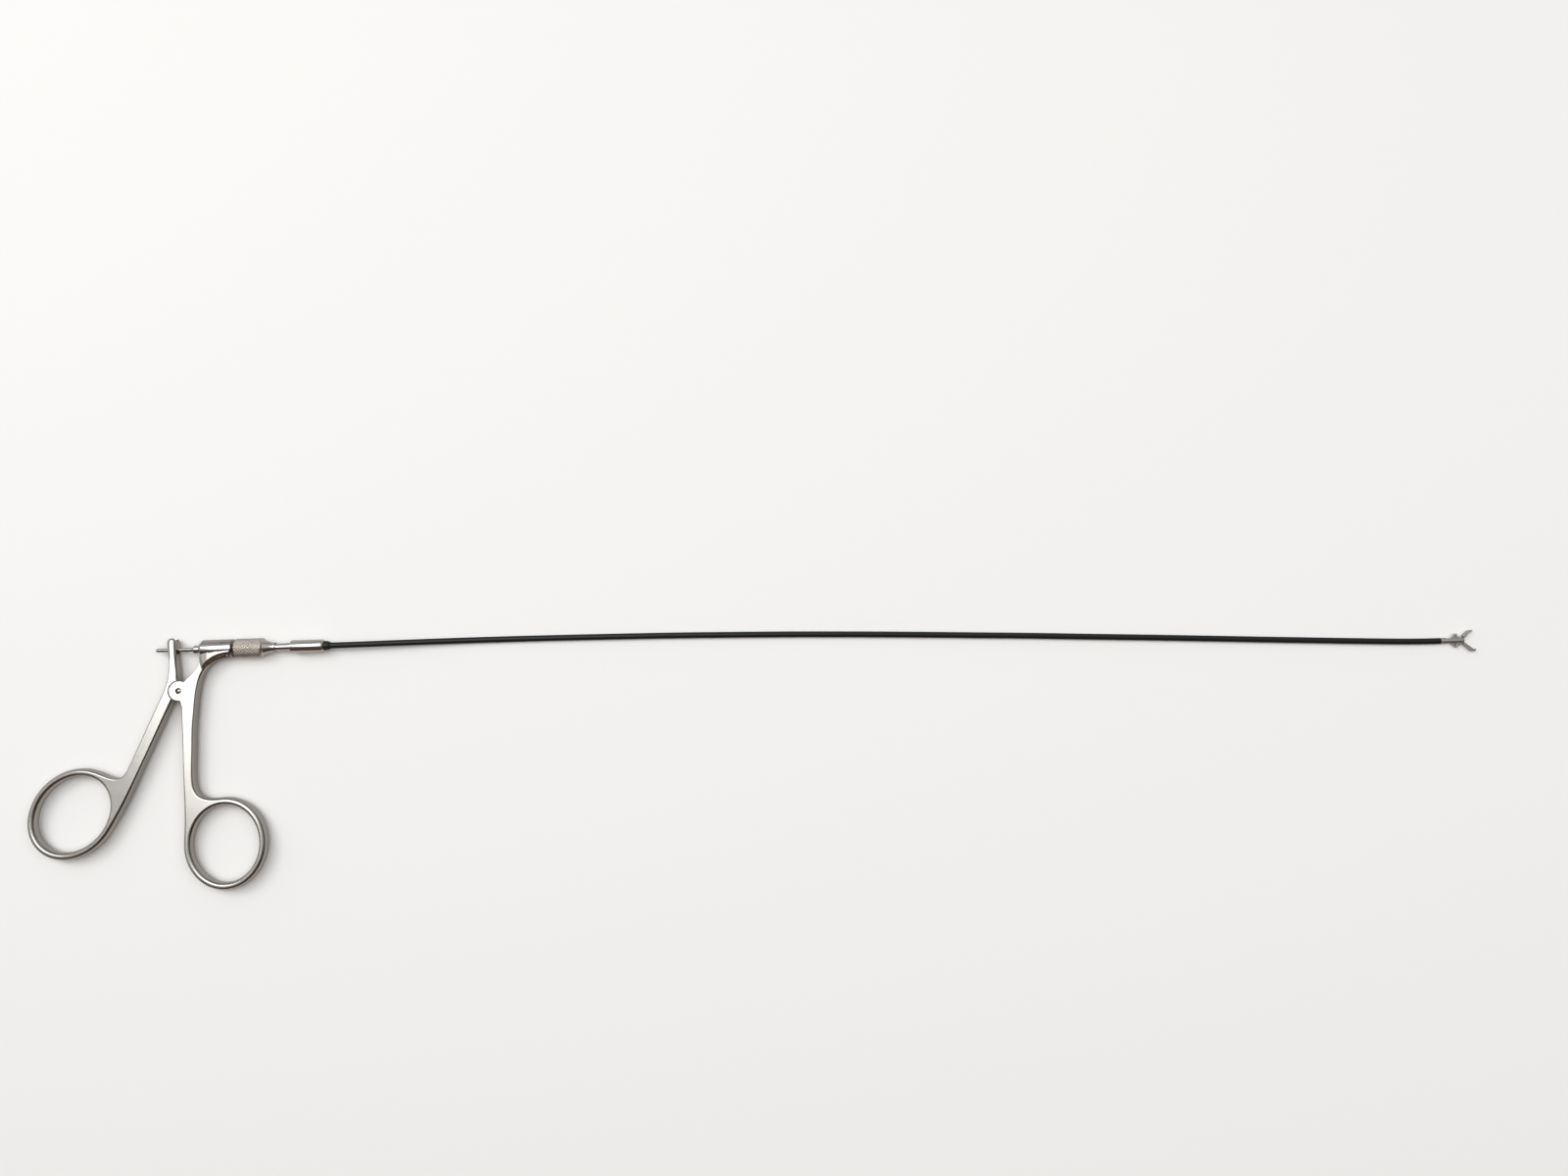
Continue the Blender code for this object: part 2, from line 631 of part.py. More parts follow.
def shaft_line(start_x, end_x, count):
    """Evenly spaced points of the shaft's centre between two distances along X."""
    exit_point = np.array([SHAFT_EXIT, ROD_OFFSET, AXIS_Z])
    route = smooth_route(exit_point + np.asarray(SHAFT_ROUTE) * (SHAFT_LENGTH, 1, 1))
    x = np.linspace(start_x, end_x, count)
    y = np.interp(x, route[:, 0], route[:, 1])
    z = np.interp(x, route[:, 0], route[:, 2])
    return np.stack([x, y, z], 1)


def run_tube(name, line, radius, finish, wall=0.0):
    """A round tube or wire along a line: a bevelled curve, hollow and open-ended if it has a wall."""
    data = bpy.data.curves.new(name, "CURVE")
    data.dimensions = "3D"
    data.bevel_depth = radius * MM
    data.bevel_resolution = 2
    data.use_fill_caps = wall == 0
    spline = data.splines.new("POLY")
    spline.points.add(len(line) - 1)
    for point, where in zip(spline.points, line):
        point.co = (*(where * MM), 1.0)
    data.materials.append(material(finish, name))
    obj = bpy.data.objects.new(name, data)
    bpy.context.scene.collection.objects.link(obj)
    obj.parent = FRAME
    if wall:
        shell = obj.modifiers.new("wall", "SOLIDIFY")
        shell.thickness = wall * MM
        shell.offset = -1
        shell.use_even_offset = True
    return obj


def make_fixed_handle():
    """Ring, shank, ears, gusset, barrel and threaded spigot, all one piece."""
    hole = ring_hole(FIXED_RING_CENTRE, FIXED_RING_SEMI, FIXED_RING_TURN)
    low, high = AXIS_Z - HALF_THICK, AXIS_Z + HALF_THICK
    handle = add_object("fixed_handle", plate(fixed_outline(), [hole], low, high), STEEL_SATIN)
    axis = (0, ROD_OFFSET, AXIS_Z)
    barrel = (
        (BARREL_REAR, 0),
        (BARREL_REAR, BARREL_RADIUS - BARREL_CHAMFER),
        (BARREL_REAR + BARREL_CHAMFER, BARREL_RADIUS),
        (BARREL_FRONT, BARREL_RADIUS),
        (BARREL_FRONT, SPIGOT_RADIUS),
        (SPIGOT_END, SPIGOT_RADIUS),
        (SPIGOT_END, 0),
    )
    boolean(handle, turned(barrel, 32, place=axis), "UNION")
    for side in (-1, 1):
        boolean(handle, gusset_pad(side), "UNION")
    bore = ROD_RADIUS + ROD_CLEARANCE
    socket = (
        (BARREL_REAR - 1, 0),
        (BARREL_REAR - 1, bore),
        (SPIGOT_END - SOCKET_DEPTH, bore),
        (SPIGOT_END - SOCKET_DEPTH, SOCKET_RADIUS),
        (SPIGOT_END + 1, SOCKET_RADIUS),
        (SPIGOT_END + 1, 0),
    )
    boolean(handle, turned(socket, 32, place=axis))
    slot = ((-SLOT_HALF, 0), (-SLOT_HALF, EAR_POCKET_RADIUS), (SLOT_HALF, EAR_POCKET_RADIUS), (SLOT_HALF, 0))
    boolean(handle, turned(slot, 48, "Z", (0, 0, AXIS_Z)))
    boolean(handle, pivot_hole())
    boolean(handle, key_pin_shape(KEY_PIN_RADIUS + KEY_CLEARANCE, ROD_RADIUS - 0.5, BARREL_RADIUS + 1))
    return handle


def pivot_hole():
    """The hole for the handle's pivot pin."""
    radius = PIVOT_PIN_RADIUS + PIVOT_PIN_CLEARANCE
    reach = HALF_THICK + 1
    return turned(((-reach, 0), (-reach, radius), (reach, radius), (reach, 0)), 24, "Z", (0, 0, AXIS_Z))


def key_pin_shape(radius, inner, outer):
    """A round pin pointing at the barrel's axis from above and behind."""
    bm = turned(((inner, 0), (inner, radius), (outer, radius), (outer, 0)), 16, "Z")
    lean = Matrix.Rotation(-math.radians(KEY_PIN_TURN), 3, "X")
    bmesh.ops.rotate(bm, cent=(0, 0, 0), matrix=lean, verts=bm.verts[:])
    where = (BARREL_FRONT - KEY_PIN_FROM_FRONT, ROD_OFFSET, AXIS_Z)
    bmesh.ops.translate(bm, vec=Vector(where), verts=bm.verts[:])
    return bm


def make_lever():
    """The moving half: forked arm, recessed web, shank and ring; its origin is the pivot."""
    hole = ring_hole(MOVING_RING_CENTRE, MOVING_RING_SEMI, MOVING_RING_TURN)
    low, high = AXIS_Z - HALF_THICK, AXIS_Z + HALF_THICK
    lever = add_object("lever", plate(lever_outline(), [hole], low, high), STEEL_SATIN)
    for side in (-1, 1):
        near, far = AXIS_Z + side * WEB_HALF, AXIS_Z + side * (HALF_THICK + 1)
        ends = (min(near, far), max(near, far))
        recess = ((ends[0], 0), (ends[0], EAR_POCKET_RADIUS), (ends[1], EAR_POCKET_RADIUS), (ends[1], 0))
        boolean(lever, turned(recess, 48, "Z"))
    boolean(lever, pivot_hole())
    half_gap = FORK_GAP / 2
    floor = ROD_OFFSET - TRUNNION_RADIUS - FORK_FLOOR_DROP
    far = ROD_OFFSET + ARM_TIP_REACH + ARM_TIP_WIDTH
    reach = ARM_TIP_WIDTH * 2
    fork = box((ARM_X - reach, floor, AXIS_Z - half_gap), (ARM_X + reach, far, AXIS_Z + half_gap))
    boolean(lever, fork)
    boolean(lever, trunnion_track())
    return lever


def trunnion_track():
    """The blind slots in the fork's prongs that the trunnion's stubs run in."""
    rise = ROD_STROKE * (ROD_STROKE - 2 * ARM_X) / (2 * ROD_OFFSET)
    radius = TRUNNION_STUB_RADIUS + 2 * TRUNNION_CLEARANCE
    reach = FORK_GAP / 2 + TRUNNION_STUB_LENGTH + TRUNNION_CLEARANCE
    track = stadium((ARM_X, ROD_OFFSET), (ARM_X, ROD_OFFSET + rise), radius)
    return plate(flat_loop(track), [], AXIS_Z - reach, AXIS_Z + reach)


def make_pivot_pin():
    """The handle's pivot pin, a little below the ears' faces."""
    half = HALF_THICK - PIVOT_PIN_RECESS
    radius = PIVOT_PIN_RADIUS
    profile = ((-half, 0), (-half, radius - 0.15), (0.15 - half, radius), (half - 0.15, radius))
    profile += ((half, radius - 0.15), (half + 0.05, 0))
    add_object("pivot_pin", turned(profile, 24, "Z", (0, 0, AXIS_Z)), STEEL_POLISHED)


def make_rod():
    """The pull rod: a thin round-ended tail, a cone, and the thick part that slides in the barrel."""
    thin = ROD_TAIL_RADIUS
    profile = [(ROD_TAIL_END, 0)]
    for angle in (30, 60, 90):
        a = math.radians(angle)
        profile.append((ROD_TAIL_END + thin * (1 - math.cos(a)), thin * math.sin(a)))
    wire_hole = WIRE_RADIUS + WIRE_CLEARANCE
    profile += [
        (ROD_SHOULDER - ROD_CONE, thin),
        (ROD_SHOULDER, ROD_RADIUS),
        (ROD_FRONT, ROD_RADIUS),
        (ROD_FRONT, wire_hole),
        (BARREL_REAR + 3.0, wire_hole),
        (BARREL_REAR + 3.0, 0),
    ]
    rod = add_object("pull_rod", turned(profile, 24, place=(0, ROD_OFFSET, AXIS_Z)), STEEL_POLISHED)
    pin_x = BARREL_FRONT - KEY_PIN_FROM_FRONT
    half = KEY_PIN_RADIUS + KEY_CLEARANCE
    low = (pin_x - half - KEY_CLEARANCE, -half, ROD_RADIUS - KEYWAY_DEPTH)
    high = (pin_x + half + ROD_STROKE + KEY_CLEARANCE, half, ROD_RADIUS + 1)
    keyway = box(low, high)
    lean = Matrix.Rotation(-math.radians(KEY_PIN_TURN), 3, "X")
    bmesh.ops.rotate(keyway, cent=(0, 0, 0), matrix=lean, verts=keyway.verts[:])
    bmesh.ops.translate(keyway, vec=(0, ROD_OFFSET, AXIS_Z), verts=keyway.verts[:])
    boolean(rod, keyway)


def make_trunnion():
    """The small swivel on the rod: a drum in the fork's gap with a stub in each prong."""
    drum, stub = TRUNNION_RADIUS, TRUNNION_STUB_RADIUS
    half = FORK_GAP / 2 - TRUNNION_CLEARANCE
    reach = half + TRUNNION_STUB_LENGTH
    profile = ((-reach, 0), (-reach, stub), (-half, stub), (-half, drum))
    profile += ((half, drum), (half, stub), (reach, stub), (reach, 0))
    place = (ARM_X, ROD_OFFSET, AXIS_Z)
    trunnion = add_object("rod_trunnion", turned(profile, 24, "Z", place), STEEL_POLISHED)
    hole = ROD_TAIL_RADIUS + 0.02
    reach = drum + 1
    boolean(trunnion, turned(((-reach, 0), (-reach, hole), (reach, hole), (reach, 0)), 24, place=place))


def make_key_pin():
    """The small pin through the barrel that keeps the rod from turning."""
    inner = ROD_RADIUS - KEYWAY_DEPTH + KEY_CLEARANCE
    outer = BARREL_RADIUS - 0.05
    add_object("key_pin", key_pin_shape(KEY_PIN_RADIUS, inner, outer), STEEL_POLISHED)


def cone_radius(x, gap=0.0):
    """The radius of the seat that the nut and the collet share, at a place along X."""
    wide = SPIGOT_RADIUS + THREAD_CLEARANCE
    narrow = NECK_RADIUS + THREAD_CLEARANCE
    start, end = SPIGOT_END + 0.6, NOSE_START + 0.5
    share = min(max((x - start) / (end - start), 0), 1)
    return wide + (narrow - wide) * share - gap


def make_nut():
    """The knurled clamping nut: a diamond-knurled band and a smooth tapered nose."""
    bm = bmesh.new()
    sides = KNURL_ROUND * 2
    rows = KNURL_ROWS * 2
    start, end = NUT_REAR + NUT_CHAMFER, NOSE_START - NUT_CHAMFER
    rings = []
    low = NUT_RADIUS - NUT_CHAMFER
    rings.append([(NUT_REAR, low)] * sides)
    for row in range(rows + 1):
        x = start + (end - start) * row / rows
        depth = KNURL_DEPTH if 0 < row < rows else 0
        rings.append([(x, NUT_RADIUS - depth * ((row + i) % 2)) for i in range(sides)])
    rings.append([(NOSE_START, low)] * sides)
    rings.append([(NOSE_START, NOSE_BASE_RADIUS)] * sides)
    rings.append([(NOSE_END - NOSE_LIP, NOSE_TIP_RADIUS - 0.05)] * sides)
    rings.append([(NOSE_END - NOSE_LIP + 0.05, NOSE_TIP_RADIUS)] * sides)
    rings.append([(NOSE_END, NOSE_TIP_RADIUS)] * sides)
    bore_end = NOSE_START + 0.5
    cone_start = SPIGOT_END + 0.6
    for x in (NOSE_END, bore_end, cone_start, NUT_REAR):
        rings.append([(x, cone_radius(x))] * sides)
    verts = []
    for ring in rings:
        angles = [2 * math.pi * i / sides for i in range(sides)]
        verts.append([bm.verts.new((x, r * math.cos(a), r * math.sin(a))) for (x, r), a in zip(ring, angles)])
    for near, far in zip(verts, verts[1:] + verts[:1]):
        for i in range(sides):
            j = (i + 1) % sides
            bm.faces.new((near[i], near[j], far[j], far[i]))
    bmesh.ops.translate(bm, vec=(0, ROD_OFFSET, AXIS_Z), verts=bm.verts[:])
    add_object("clamp_nut", bm, STEEL_KNURLED)


def make_collet():
    """The slit cone that the nut squeezes onto the neck tube."""
    bore = NECK_RADIUS + NECK_CLEARANCE
    tail = SOCKET_RADIUS - COLLET_CLEARANCE
    rear = SPIGOT_END - SOCKET_DEPTH + 0.2
    shoulder = SPIGOT_END + 0.3
    cone_start = SPIGOT_END + 0.6
    front = shoulder + COLLET_CONE_LENGTH
    profile = (
        (rear, bore),
        (rear, tail),
        (shoulder, tail),
        (shoulder, cone_radius(cone_start, COLLET_CLEARANCE)),
        (cone_start, cone_radius(cone_start, COLLET_CLEARANCE)),
        (front, cone_radius(front, COLLET_CLEARANCE)),
        (front, bore),
    )
    axis = Vector((0, ROD_OFFSET, AXIS_Z))
    collet = add_object("collet", turned(profile, 24, place=axis), STEEL_SATIN)
    reach, half = NUT_RADIUS, COLLET_SLIT / 2
    slit_start = shoulder - 1.2
    for size in ((reach, half), (half, reach)):
        low = axis + Vector((slit_start, -size[0], -size[1]))
        high = axis + Vector((front + 1, size[0], size[1]))
        boolean(collet, box(low, high))


def make_neck():
    """The thin polished tube between the collet and the ferrule."""
    inner = NECK_RADIUS - NECK_WALL
    profile = ((NECK_REAR, inner), (NECK_REAR, NECK_RADIUS), (NECK_END, NECK_RADIUS), (NECK_END, inner))
    add_object("neck_tube", turned(profile, 24, place=(0, ROD_OFFSET, AXIS_Z)), STEEL_POLISHED)


def make_ferrule():
    """The polished ferrule that joins the neck tube and the shaft."""
    rear_bore = NECK_RADIUS + NECK_CLEARANCE
    front_bore = SHEATH_RADIUS + SHEATH_CLEARANCE
    step = NECK_END + 0.1
    profile = (
        (FERRULE_REAR, rear_bore),
        (FERRULE_REAR, FERRULE_RADIUS - 0.15),
        (FERRULE_REAR + 0.15, FERRULE_RADIUS),
        (FERRULE_FRONT - FERRULE_CHAMFER, FERRULE_RADIUS),
        (FERRULE_FRONT, FERRULE_RADIUS - FERRULE_CHAMFER / 2),
        (FERRULE_FRONT, front_bore),
        (step, front_bore),
        (step, rear_bore),
    )
    add_object("ferrule", turned(profile, 32, place=(0, ROD_OFFSET, AXIS_Z)), STEEL_POLISHED)


def make_bead():
    """The black bead that eases the shaft out of the ferrule."""
    bore = SHEATH_RADIUS + SHEATH_CLEARANCE
    shoulder = BEAD_REAR + BEAD_LENGTH * 0.55
    profile = (
        (BEAD_REAR, bore),
        (BEAD_REAR, BEAD_RADIUS),
        (shoulder, BEAD_RADIUS * 0.97),
        (SHAFT_EXIT, BEAD_END_RADIUS),
        (SHAFT_EXIT, bore),
    )
    add_object("strain_bead", turned(profile, 24, place=(0, ROD_OFFSET, AXIS_Z)), BLACK_BEAD)


def make_shaft():
    """The black jacket, the coil in it, and the pull wire from the rod to the sliding fork."""
    jacket = shaft_line(SHEATH_REAR, SHAFT_END - 0.1, SHAFT_STATIONS)
    run_tube("shaft_sheath", jacket, SHEATH_RADIUS, BLACK_JACKET, SHEATH_WALL)
    coil_end = SHAFT_END - CLEVIS_SPIGOT_LENGTH - 0.1
    coil = shaft_line(SHEATH_REAR, coil_end, SHAFT_STATIONS)
    run_tube("shaft_coil", coil, COIL_RADIUS, STEEL_SATIN, COIL_WALL)
    wire_end = JAW_PIN_X - FORK_OPEN - BLOCK_REAR + BLOCK_BORE_DEPTH - 0.1
    wire = shaft_line(BARREL_REAR + 3.2, wire_end, SHAFT_STATIONS + 6)
    run_tube("pull_wire", wire, WIRE_RADIUS, STEEL_SATIN)


def make_clevis():
    """The shaft's end fitting: a spigot in the jacket and two cheeks across the jaws."""
    rear = CLEVIS_BEYOND_PIN - CLEVIS_LENGTH
    radius = CLEVIS_RADIUS
    bore = CLEVIS_BORE_RADIUS
    inner_end = CLEVIS_BEYOND_PIN - CLEVIS_SLOT_LENGTH
    profile = (
        (CLEVIS_BEYOND_PIN, 0),
        (CLEVIS_BEYOND_PIN, radius - CLEVIS_CHAMFER),
        (CLEVIS_BEYOND_PIN - CLEVIS_CHAMFER, radius),
        (rear + CLEVIS_CHAMFER, radius),
        (rear, radius - CLEVIS_CHAMFER),
        (rear, CLEVIS_SPIGOT_RADIUS),
        (rear - CLEVIS_SPIGOT_LENGTH, CLEVIS_SPIGOT_RADIUS),
        (rear - CLEVIS_SPIGOT_LENGTH, bore),
        (inner_end, bore),
        (inner_end, 0),
    )
    place = (JAW_PIN_X, JAW_Y, JAW_Z)
    clevis = add_object("clevis", turned(profile, 24), STEEL_SATIN, place)
    slot_start = inner_end - 0.3
    half = CLEVIS_SLOT_HALF
    boolean(clevis, box((slot_start, -radius - 1, -half), (CLEVIS_BEYOND_PIN + 1, radius + 1, half)))
    boolean(clevis, pin_shape(JAW_PIN_RADIUS + SMALL_CLEARANCE, radius + 0.5))
    add_object("jaw_pin", pin_shape(JAW_PIN_RADIUS, radius - 0.03), STEEL_POLISHED, place)


def pin_shape(radius, half, sides=16):
    """A plain pin along Z about its own middle."""
    return turned(((-half, 0), (-half, radius), (half, radius), (half, 0)), sides, "Z")


def make_block():
    """The sliding fork on the wire's end, and the pin that the two links hang on."""
    radius = BLOCK_RADIUS
    wire_hole = WIRE_RADIUS + SMALL_CLEARANCE
    depth = BLOCK_BORE_DEPTH - BLOCK_REAR
    profile = (
        (BLOCK_FRONT, 0),
        (BLOCK_FRONT, radius),
        (-BLOCK_REAR, radius),
        (-BLOCK_REAR, wire_hole),
        (depth, wire_hole),
        (depth, 0),
    )
    place = (JAW_PIN_X - FORK_OPEN, JAW_Y, JAW_Z)
    block = add_object("wire_fork", turned(profile, 24), STEEL_SATIN, place)
    half = BLOCK_CHEEK_GAP / 2
    reach = LINK_WIDTH / 2 + 0.12
    boolean(block, box((-reach, -1, -half), (BLOCK_FRONT + 1, 1, half)))
    boolean(block, pin_shape(LINK_PIN_RADIUS + SMALL_CLEARANCE, radius + 0.5))
    add_object("link_pin", pin_shape(LINK_PIN_RADIUS, radius - SMALL_CLEARANCE), STEEL_POLISHED, place)


def mirror_y(points, side):
    """Points as they are for side 1, or mirrored across the axis and kept in turning order for -1."""
    points = np.asarray(points, float)
    return points if side > 0 else (points * (1, -1))[::-1]


def layer(side):
    """The height range of a thin blade: above the mid-plane for side 1, below it for -1."""
    return (LAYER_LOW, LAYER_HIGH) if side > 0 else (-LAYER_HIGH, -LAYER_LOW)


def jaw_head_outline(shape):
    """The working half of a closed jaw: a hollow between a full root and the tip.

    A jaw with a tooth runs past the other one's tip, and the tooth stands up in front of it.
    """
    tip, deep, face, tooth = shape["length"], shape["depth"], JAW_FACE_GAP, shape["tooth"]
    flat = JAW_ROOT + 0.6
    hollow = np.array((flat + (tip - flat) * 0.5, face + shape["hollow"]))
    inner = blend((flat, face), (1, 0.25), hollow, (1, 0), 6)
    hook = blend(hollow, (1, 0), (tip - 0.34, face), (0.8, -0.6), 6)
    nose = np.array([(tip - 0.3, face - tooth), (tip - 0.08, face - tooth), (tip, face + 0.22)])
    shoulder = (JAW_ROOT + JAW_SHOULDER, deep)
    back = blend((tip - 0.1, face + 0.45), (-0.6, 1), shoulder, (-1, 0), 9, (0.3, 0.45))
    heel = np.array([(JAW_ROOT + 0.2, deep - 0.05), (JAW_ROOT, 0.62), (JAW_ROOT, face)])
    return np.vstack([inner[:-1], hook, nose, back, heel])


def tail_outline():
    """A closed jaw's blade: its eye at the pin, the tail behind, and the neck to the head."""
    angle = math.radians(TAIL_OPEN - JAW_SWING)
    end = (-TAIL_LENGTH * math.cos(angle), -TAIL_LENGTH * math.sin(angle))
    half = TAIL_WIDTH / 2
    back = math.degrees(angle) + 180
    cap = arc(end, half, back - 90, back + 90, 9)
    eye = JAW_EYE_RADIUS
    below = arc((0, 0), eye, -80, -25, 4)
    neck = np.array([(JAW_ROOT + 0.2, JAW_FACE_GAP + 0.1), (JAW_ROOT + 0.2, JAW_FACE_GAP + 0.55)])
    above = arc((0, 0), eye, 75, 120, 4)
    return np.vstack([cap, below, neck, above])


def make_jaw(name, side, shape):
    """One jaw with its rivet: side 1 is the upper one, which points away from the rings when open."""
    place = (JAW_PIN_X, JAW_Y, JAW_Z)
    turn = side * JAW_SWING
    low, high = layer(side)
    hole = flat_loop(arc((0, 0), JAW_PIN_RADIUS + SMALL_CLEARANCE, 360, 0, 17)[:-1])
    blade = plate(flat_loop(mirror_y(tail_outline(), side)), [hole], low, high)
    jaw = add_object(name, blade, STEEL_JAW, place, turn)
    head = plate(flat_loop(mirror_y(jaw_head_outline(shape), side)), [], -JAW_HALF_WIDTH, JAW_HALF_WIDTH)
    boolean(jaw, head, "UNION")
    angle = math.radians(TAIL_OPEN - JAW_SWING)
    end = (-TAIL_LENGTH * math.cos(angle), -side * TAIL_LENGTH * math.sin(angle), 0)
    rivet_hole = pin_shape(RIVET_RADIUS + SMALL_CLEARANCE / 2, LAYER_HIGH + 0.5, 12)
    bmesh.ops.translate(rivet_hole, vec=Vector(end), verts=rivet_hole.verts[:])
    boolean(jaw, rivet_hole)
    shank = LAYER_HIGH + SMALL_CLEARANCE * 0.7
    top = shank + RIVET_HEAD_THICKNESS
    profile = ((-top, 0), (-top, RIVET_HEAD_RADIUS), (-shank, RIVET_HEAD_RADIUS), (-shank, RIVET_RADIUS))
    profile += ((shank, RIVET_RADIUS), (shank, RIVET_HEAD_RADIUS), (top, RIVET_HEAD_RADIUS), (top, 0))
    rivet = turned(profile, 16, "Z", end)
    add_object(name.replace("jaw", "rivet"), rivet, STEEL_POLISHED, place, turn)


def make_link(name, side):
    """The link from the sliding fork to one jaw's tail; its far eye is slotted for the travel."""
    along, aside = link_slack()
    radius = RIVET_RADIUS + RIVET_PLAY + aside
    slot = stadium((LINK_LENGTH - along, 0), (LINK_LENGTH, 0), radius, 8)[::-1]
    pin_hole = arc((0, 0), LINK_PIN_RADIUS + SMALL_CLEARANCE, 360, 0, 17)[:-1]
    half = LINK_WIDTH / 2
    far = arc((LINK_LENGTH, 0), LINK_EYE_RADIUS, -110, 110, 11)
    bulge = LINK_LENGTH - along
    near = arc((0, 0), half, 90, 270, 9)
    upper = np.array([(bulge - 0.1, LINK_EYE_RADIUS), (bulge - 0.6, half)])
    lower = upper[::-1] * (1, -1)
    outer = np.vstack([far, upper, near, lower])
    low, high = layer(-side)
    bm = plate(flat_loop(outer), [flat_loop(slot), flat_loop(pin_hole)], low, high)
    place = (JAW_PIN_X - FORK_OPEN, JAW_Y, JAW_Z)
    add_object(name, bm, STEEL_JAW, place, -side * LINK_OPEN)


def centre_model():
    """Move the frame empty so that the model's box, the shaft apart, is centred on the origin."""
    lever, fixed = lever_outline(), fixed_outline()
    tips = []
    for shape in (UPPER_JAW, LOWER_JAW):
        head = jaw_head_outline(shape)
        swing = math.radians(JAW_SWING)
        tips.append((head[:, 0] * math.cos(swing) - head[:, 1] * math.sin(swing)).max())
    low = (lever[:, 0].min(), fixed[:, 1].min())
    high = (JAW_PIN_X + max(tips), lever[:, 1].max())
    FRAME.location = (-(low[0] + high[0]) / 2 * MM, -(low[1] + high[1]) / 2 * MM, 0)


clear_scene()
FRAME = bpy.data.objects.new("frame", None)
bpy.context.scene.collection.objects.link(FRAME)
make_fixed_handle()
make_lever()
make_pivot_pin()
make_rod()
make_trunnion()
make_key_pin()
make_nut()
make_collet()
make_neck()
make_ferrule()
make_bead()
make_shaft()
make_clevis()
make_block()
make_jaw("upper_jaw", 1, UPPER_JAW)
make_jaw("lower_jaw", -1, LOWER_JAW)
make_link("upper_link", 1)
make_link("lower_link", -1)
centre_model()
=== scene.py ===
import json
import math

import bmesh
import bpy
import numpy as np
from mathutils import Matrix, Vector
from mathutils.geometry import tessellate_polygon


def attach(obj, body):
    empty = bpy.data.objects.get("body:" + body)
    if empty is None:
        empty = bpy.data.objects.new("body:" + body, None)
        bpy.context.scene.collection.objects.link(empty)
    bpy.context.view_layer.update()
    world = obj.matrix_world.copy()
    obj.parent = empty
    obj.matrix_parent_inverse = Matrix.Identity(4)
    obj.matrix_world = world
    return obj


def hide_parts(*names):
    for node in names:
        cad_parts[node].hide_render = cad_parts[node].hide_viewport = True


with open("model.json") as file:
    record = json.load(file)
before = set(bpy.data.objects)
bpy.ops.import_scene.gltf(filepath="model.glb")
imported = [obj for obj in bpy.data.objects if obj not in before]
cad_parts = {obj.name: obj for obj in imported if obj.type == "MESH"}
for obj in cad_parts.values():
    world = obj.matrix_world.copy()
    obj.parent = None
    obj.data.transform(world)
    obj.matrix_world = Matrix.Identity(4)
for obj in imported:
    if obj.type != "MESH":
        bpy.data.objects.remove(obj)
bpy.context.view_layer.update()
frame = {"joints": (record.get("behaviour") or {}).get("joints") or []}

# Lengths are in millimetres about the handle's pivot, heights from the table.
MM = 0.001
JOINTS = {joint["name"]: joint for joint in frame["joints"]}
PIVOT = Vector(JOINTS["lever_pivot"]["pos_m"])
SHIFT = np.array([PIVOT.x / MM, PIVOT.y / MM, 0.0])
AXIS_Z = 3.0
ROD_OFFSET = 13.0
HALF_THICK = 2.0
DETAIL = 1.0

# Handle halves: finger rings as (centre, half axes, turn in degrees), shanks, gusset, ears and fork
RING_BAND = 2.4
RING_EDGE = 1.05
SHANK_EDGE = 0.5
SHANK_TURN, SHANK_OFFSET, SHANK_WIDTH, SHANK_START, SHANK_END = 24.1, 2.6, 3.7, 3.4, 28.0
SHANK_RIGHT_TOP = (4.95, -9.0)
EDGE_HEIGHT_RATIO = 1.5
GUSSET_EDGES = (0.5, 0.5, 0.5, 0.6, 0.6, 0.9)
GUSSET_SLANTS = (0.0, 0.0, 0.0, 0.4, 1.0, 1.0)
PAD_FROM_REAR, PAD_START, PAD_SKEW, PAD_RUN = 0.65, 7.9, 2.9, 3.4
PAD_RISES = (0.45, 0.62, 0.7, 0.75, 0.8)
PAD_SUNK = 0.4
EAR_RADIUS = 3.2
EAR_EDGE = 0.25
POCKET_RADIUS = 3.35
WEB_HALF = 0.8
SLOT_HALF = 0.9
WEB_DISC_RADIUS = 3.05
PIVOT_HOLE, PIVOT_RADIUS, PIVOT_DOME, PIVOT_SHORT = 0.95, 0.76, 0.45, 0.12
MOVING_RING = ((-32.7, -37.4), (11.8, 13.95), -44.7)
FIXED_RING = ((15.1, -47.8), (11.7, 13.1), 4.0)
ARM_X = -2.75
ARM_TIP_REACH, ARM_TIP_HALF, ARM_NECK_HALF = 2.35, 1.35, 1.15
ARM_TIP_EDGE = 1.15

# Pieces turned about the barrel's axis, and the key pin that leans in the barrel's wall
BARREL_REAR, BARREL_FRONT, BARREL_RADIUS = 6.0, 16.4, 2.9
NUT_REAR, NOSE_START, NOSE_END, NUT_RADIUS = 17.1, 26.2, 29.8, 3.0
NECK_REAR, NECK_FRONT, NECK_RADIUS, NECK_BORE = 17.0, 39.0, 1.15, 0.8
FERRULE_REAR, FERRULE_FRONT, FERRULE_RADIUS = 34.8, 45.1, 2.0
BEAD_REAR, SHAFT_EXIT = 45.2, 47.0
KEY_X, KEY_RADIUS, KEY_LEAN, KEY_FOOT, KEY_SUNK, KEY_GAP = 13.6, 0.25, 36.0, 0.75, 0.4, 0.04
ROD_RADIUS, TAIL_RADIUS, TAIL_BEHIND_FORK = 1.3, 0.65, 4.2
SWIVEL_HALF, SWIVEL_RADIUS = 0.95, 1.1
BORE_RADIUS, SOCKET_REAR, SOCKET_RADIUS = 1.36, 19.2, 1.75
THREAD_ROOT, THREAD_CREST, THREAD_PITCH, SPIGOT_END = 1.85, 2.1, 0.5, 22.4

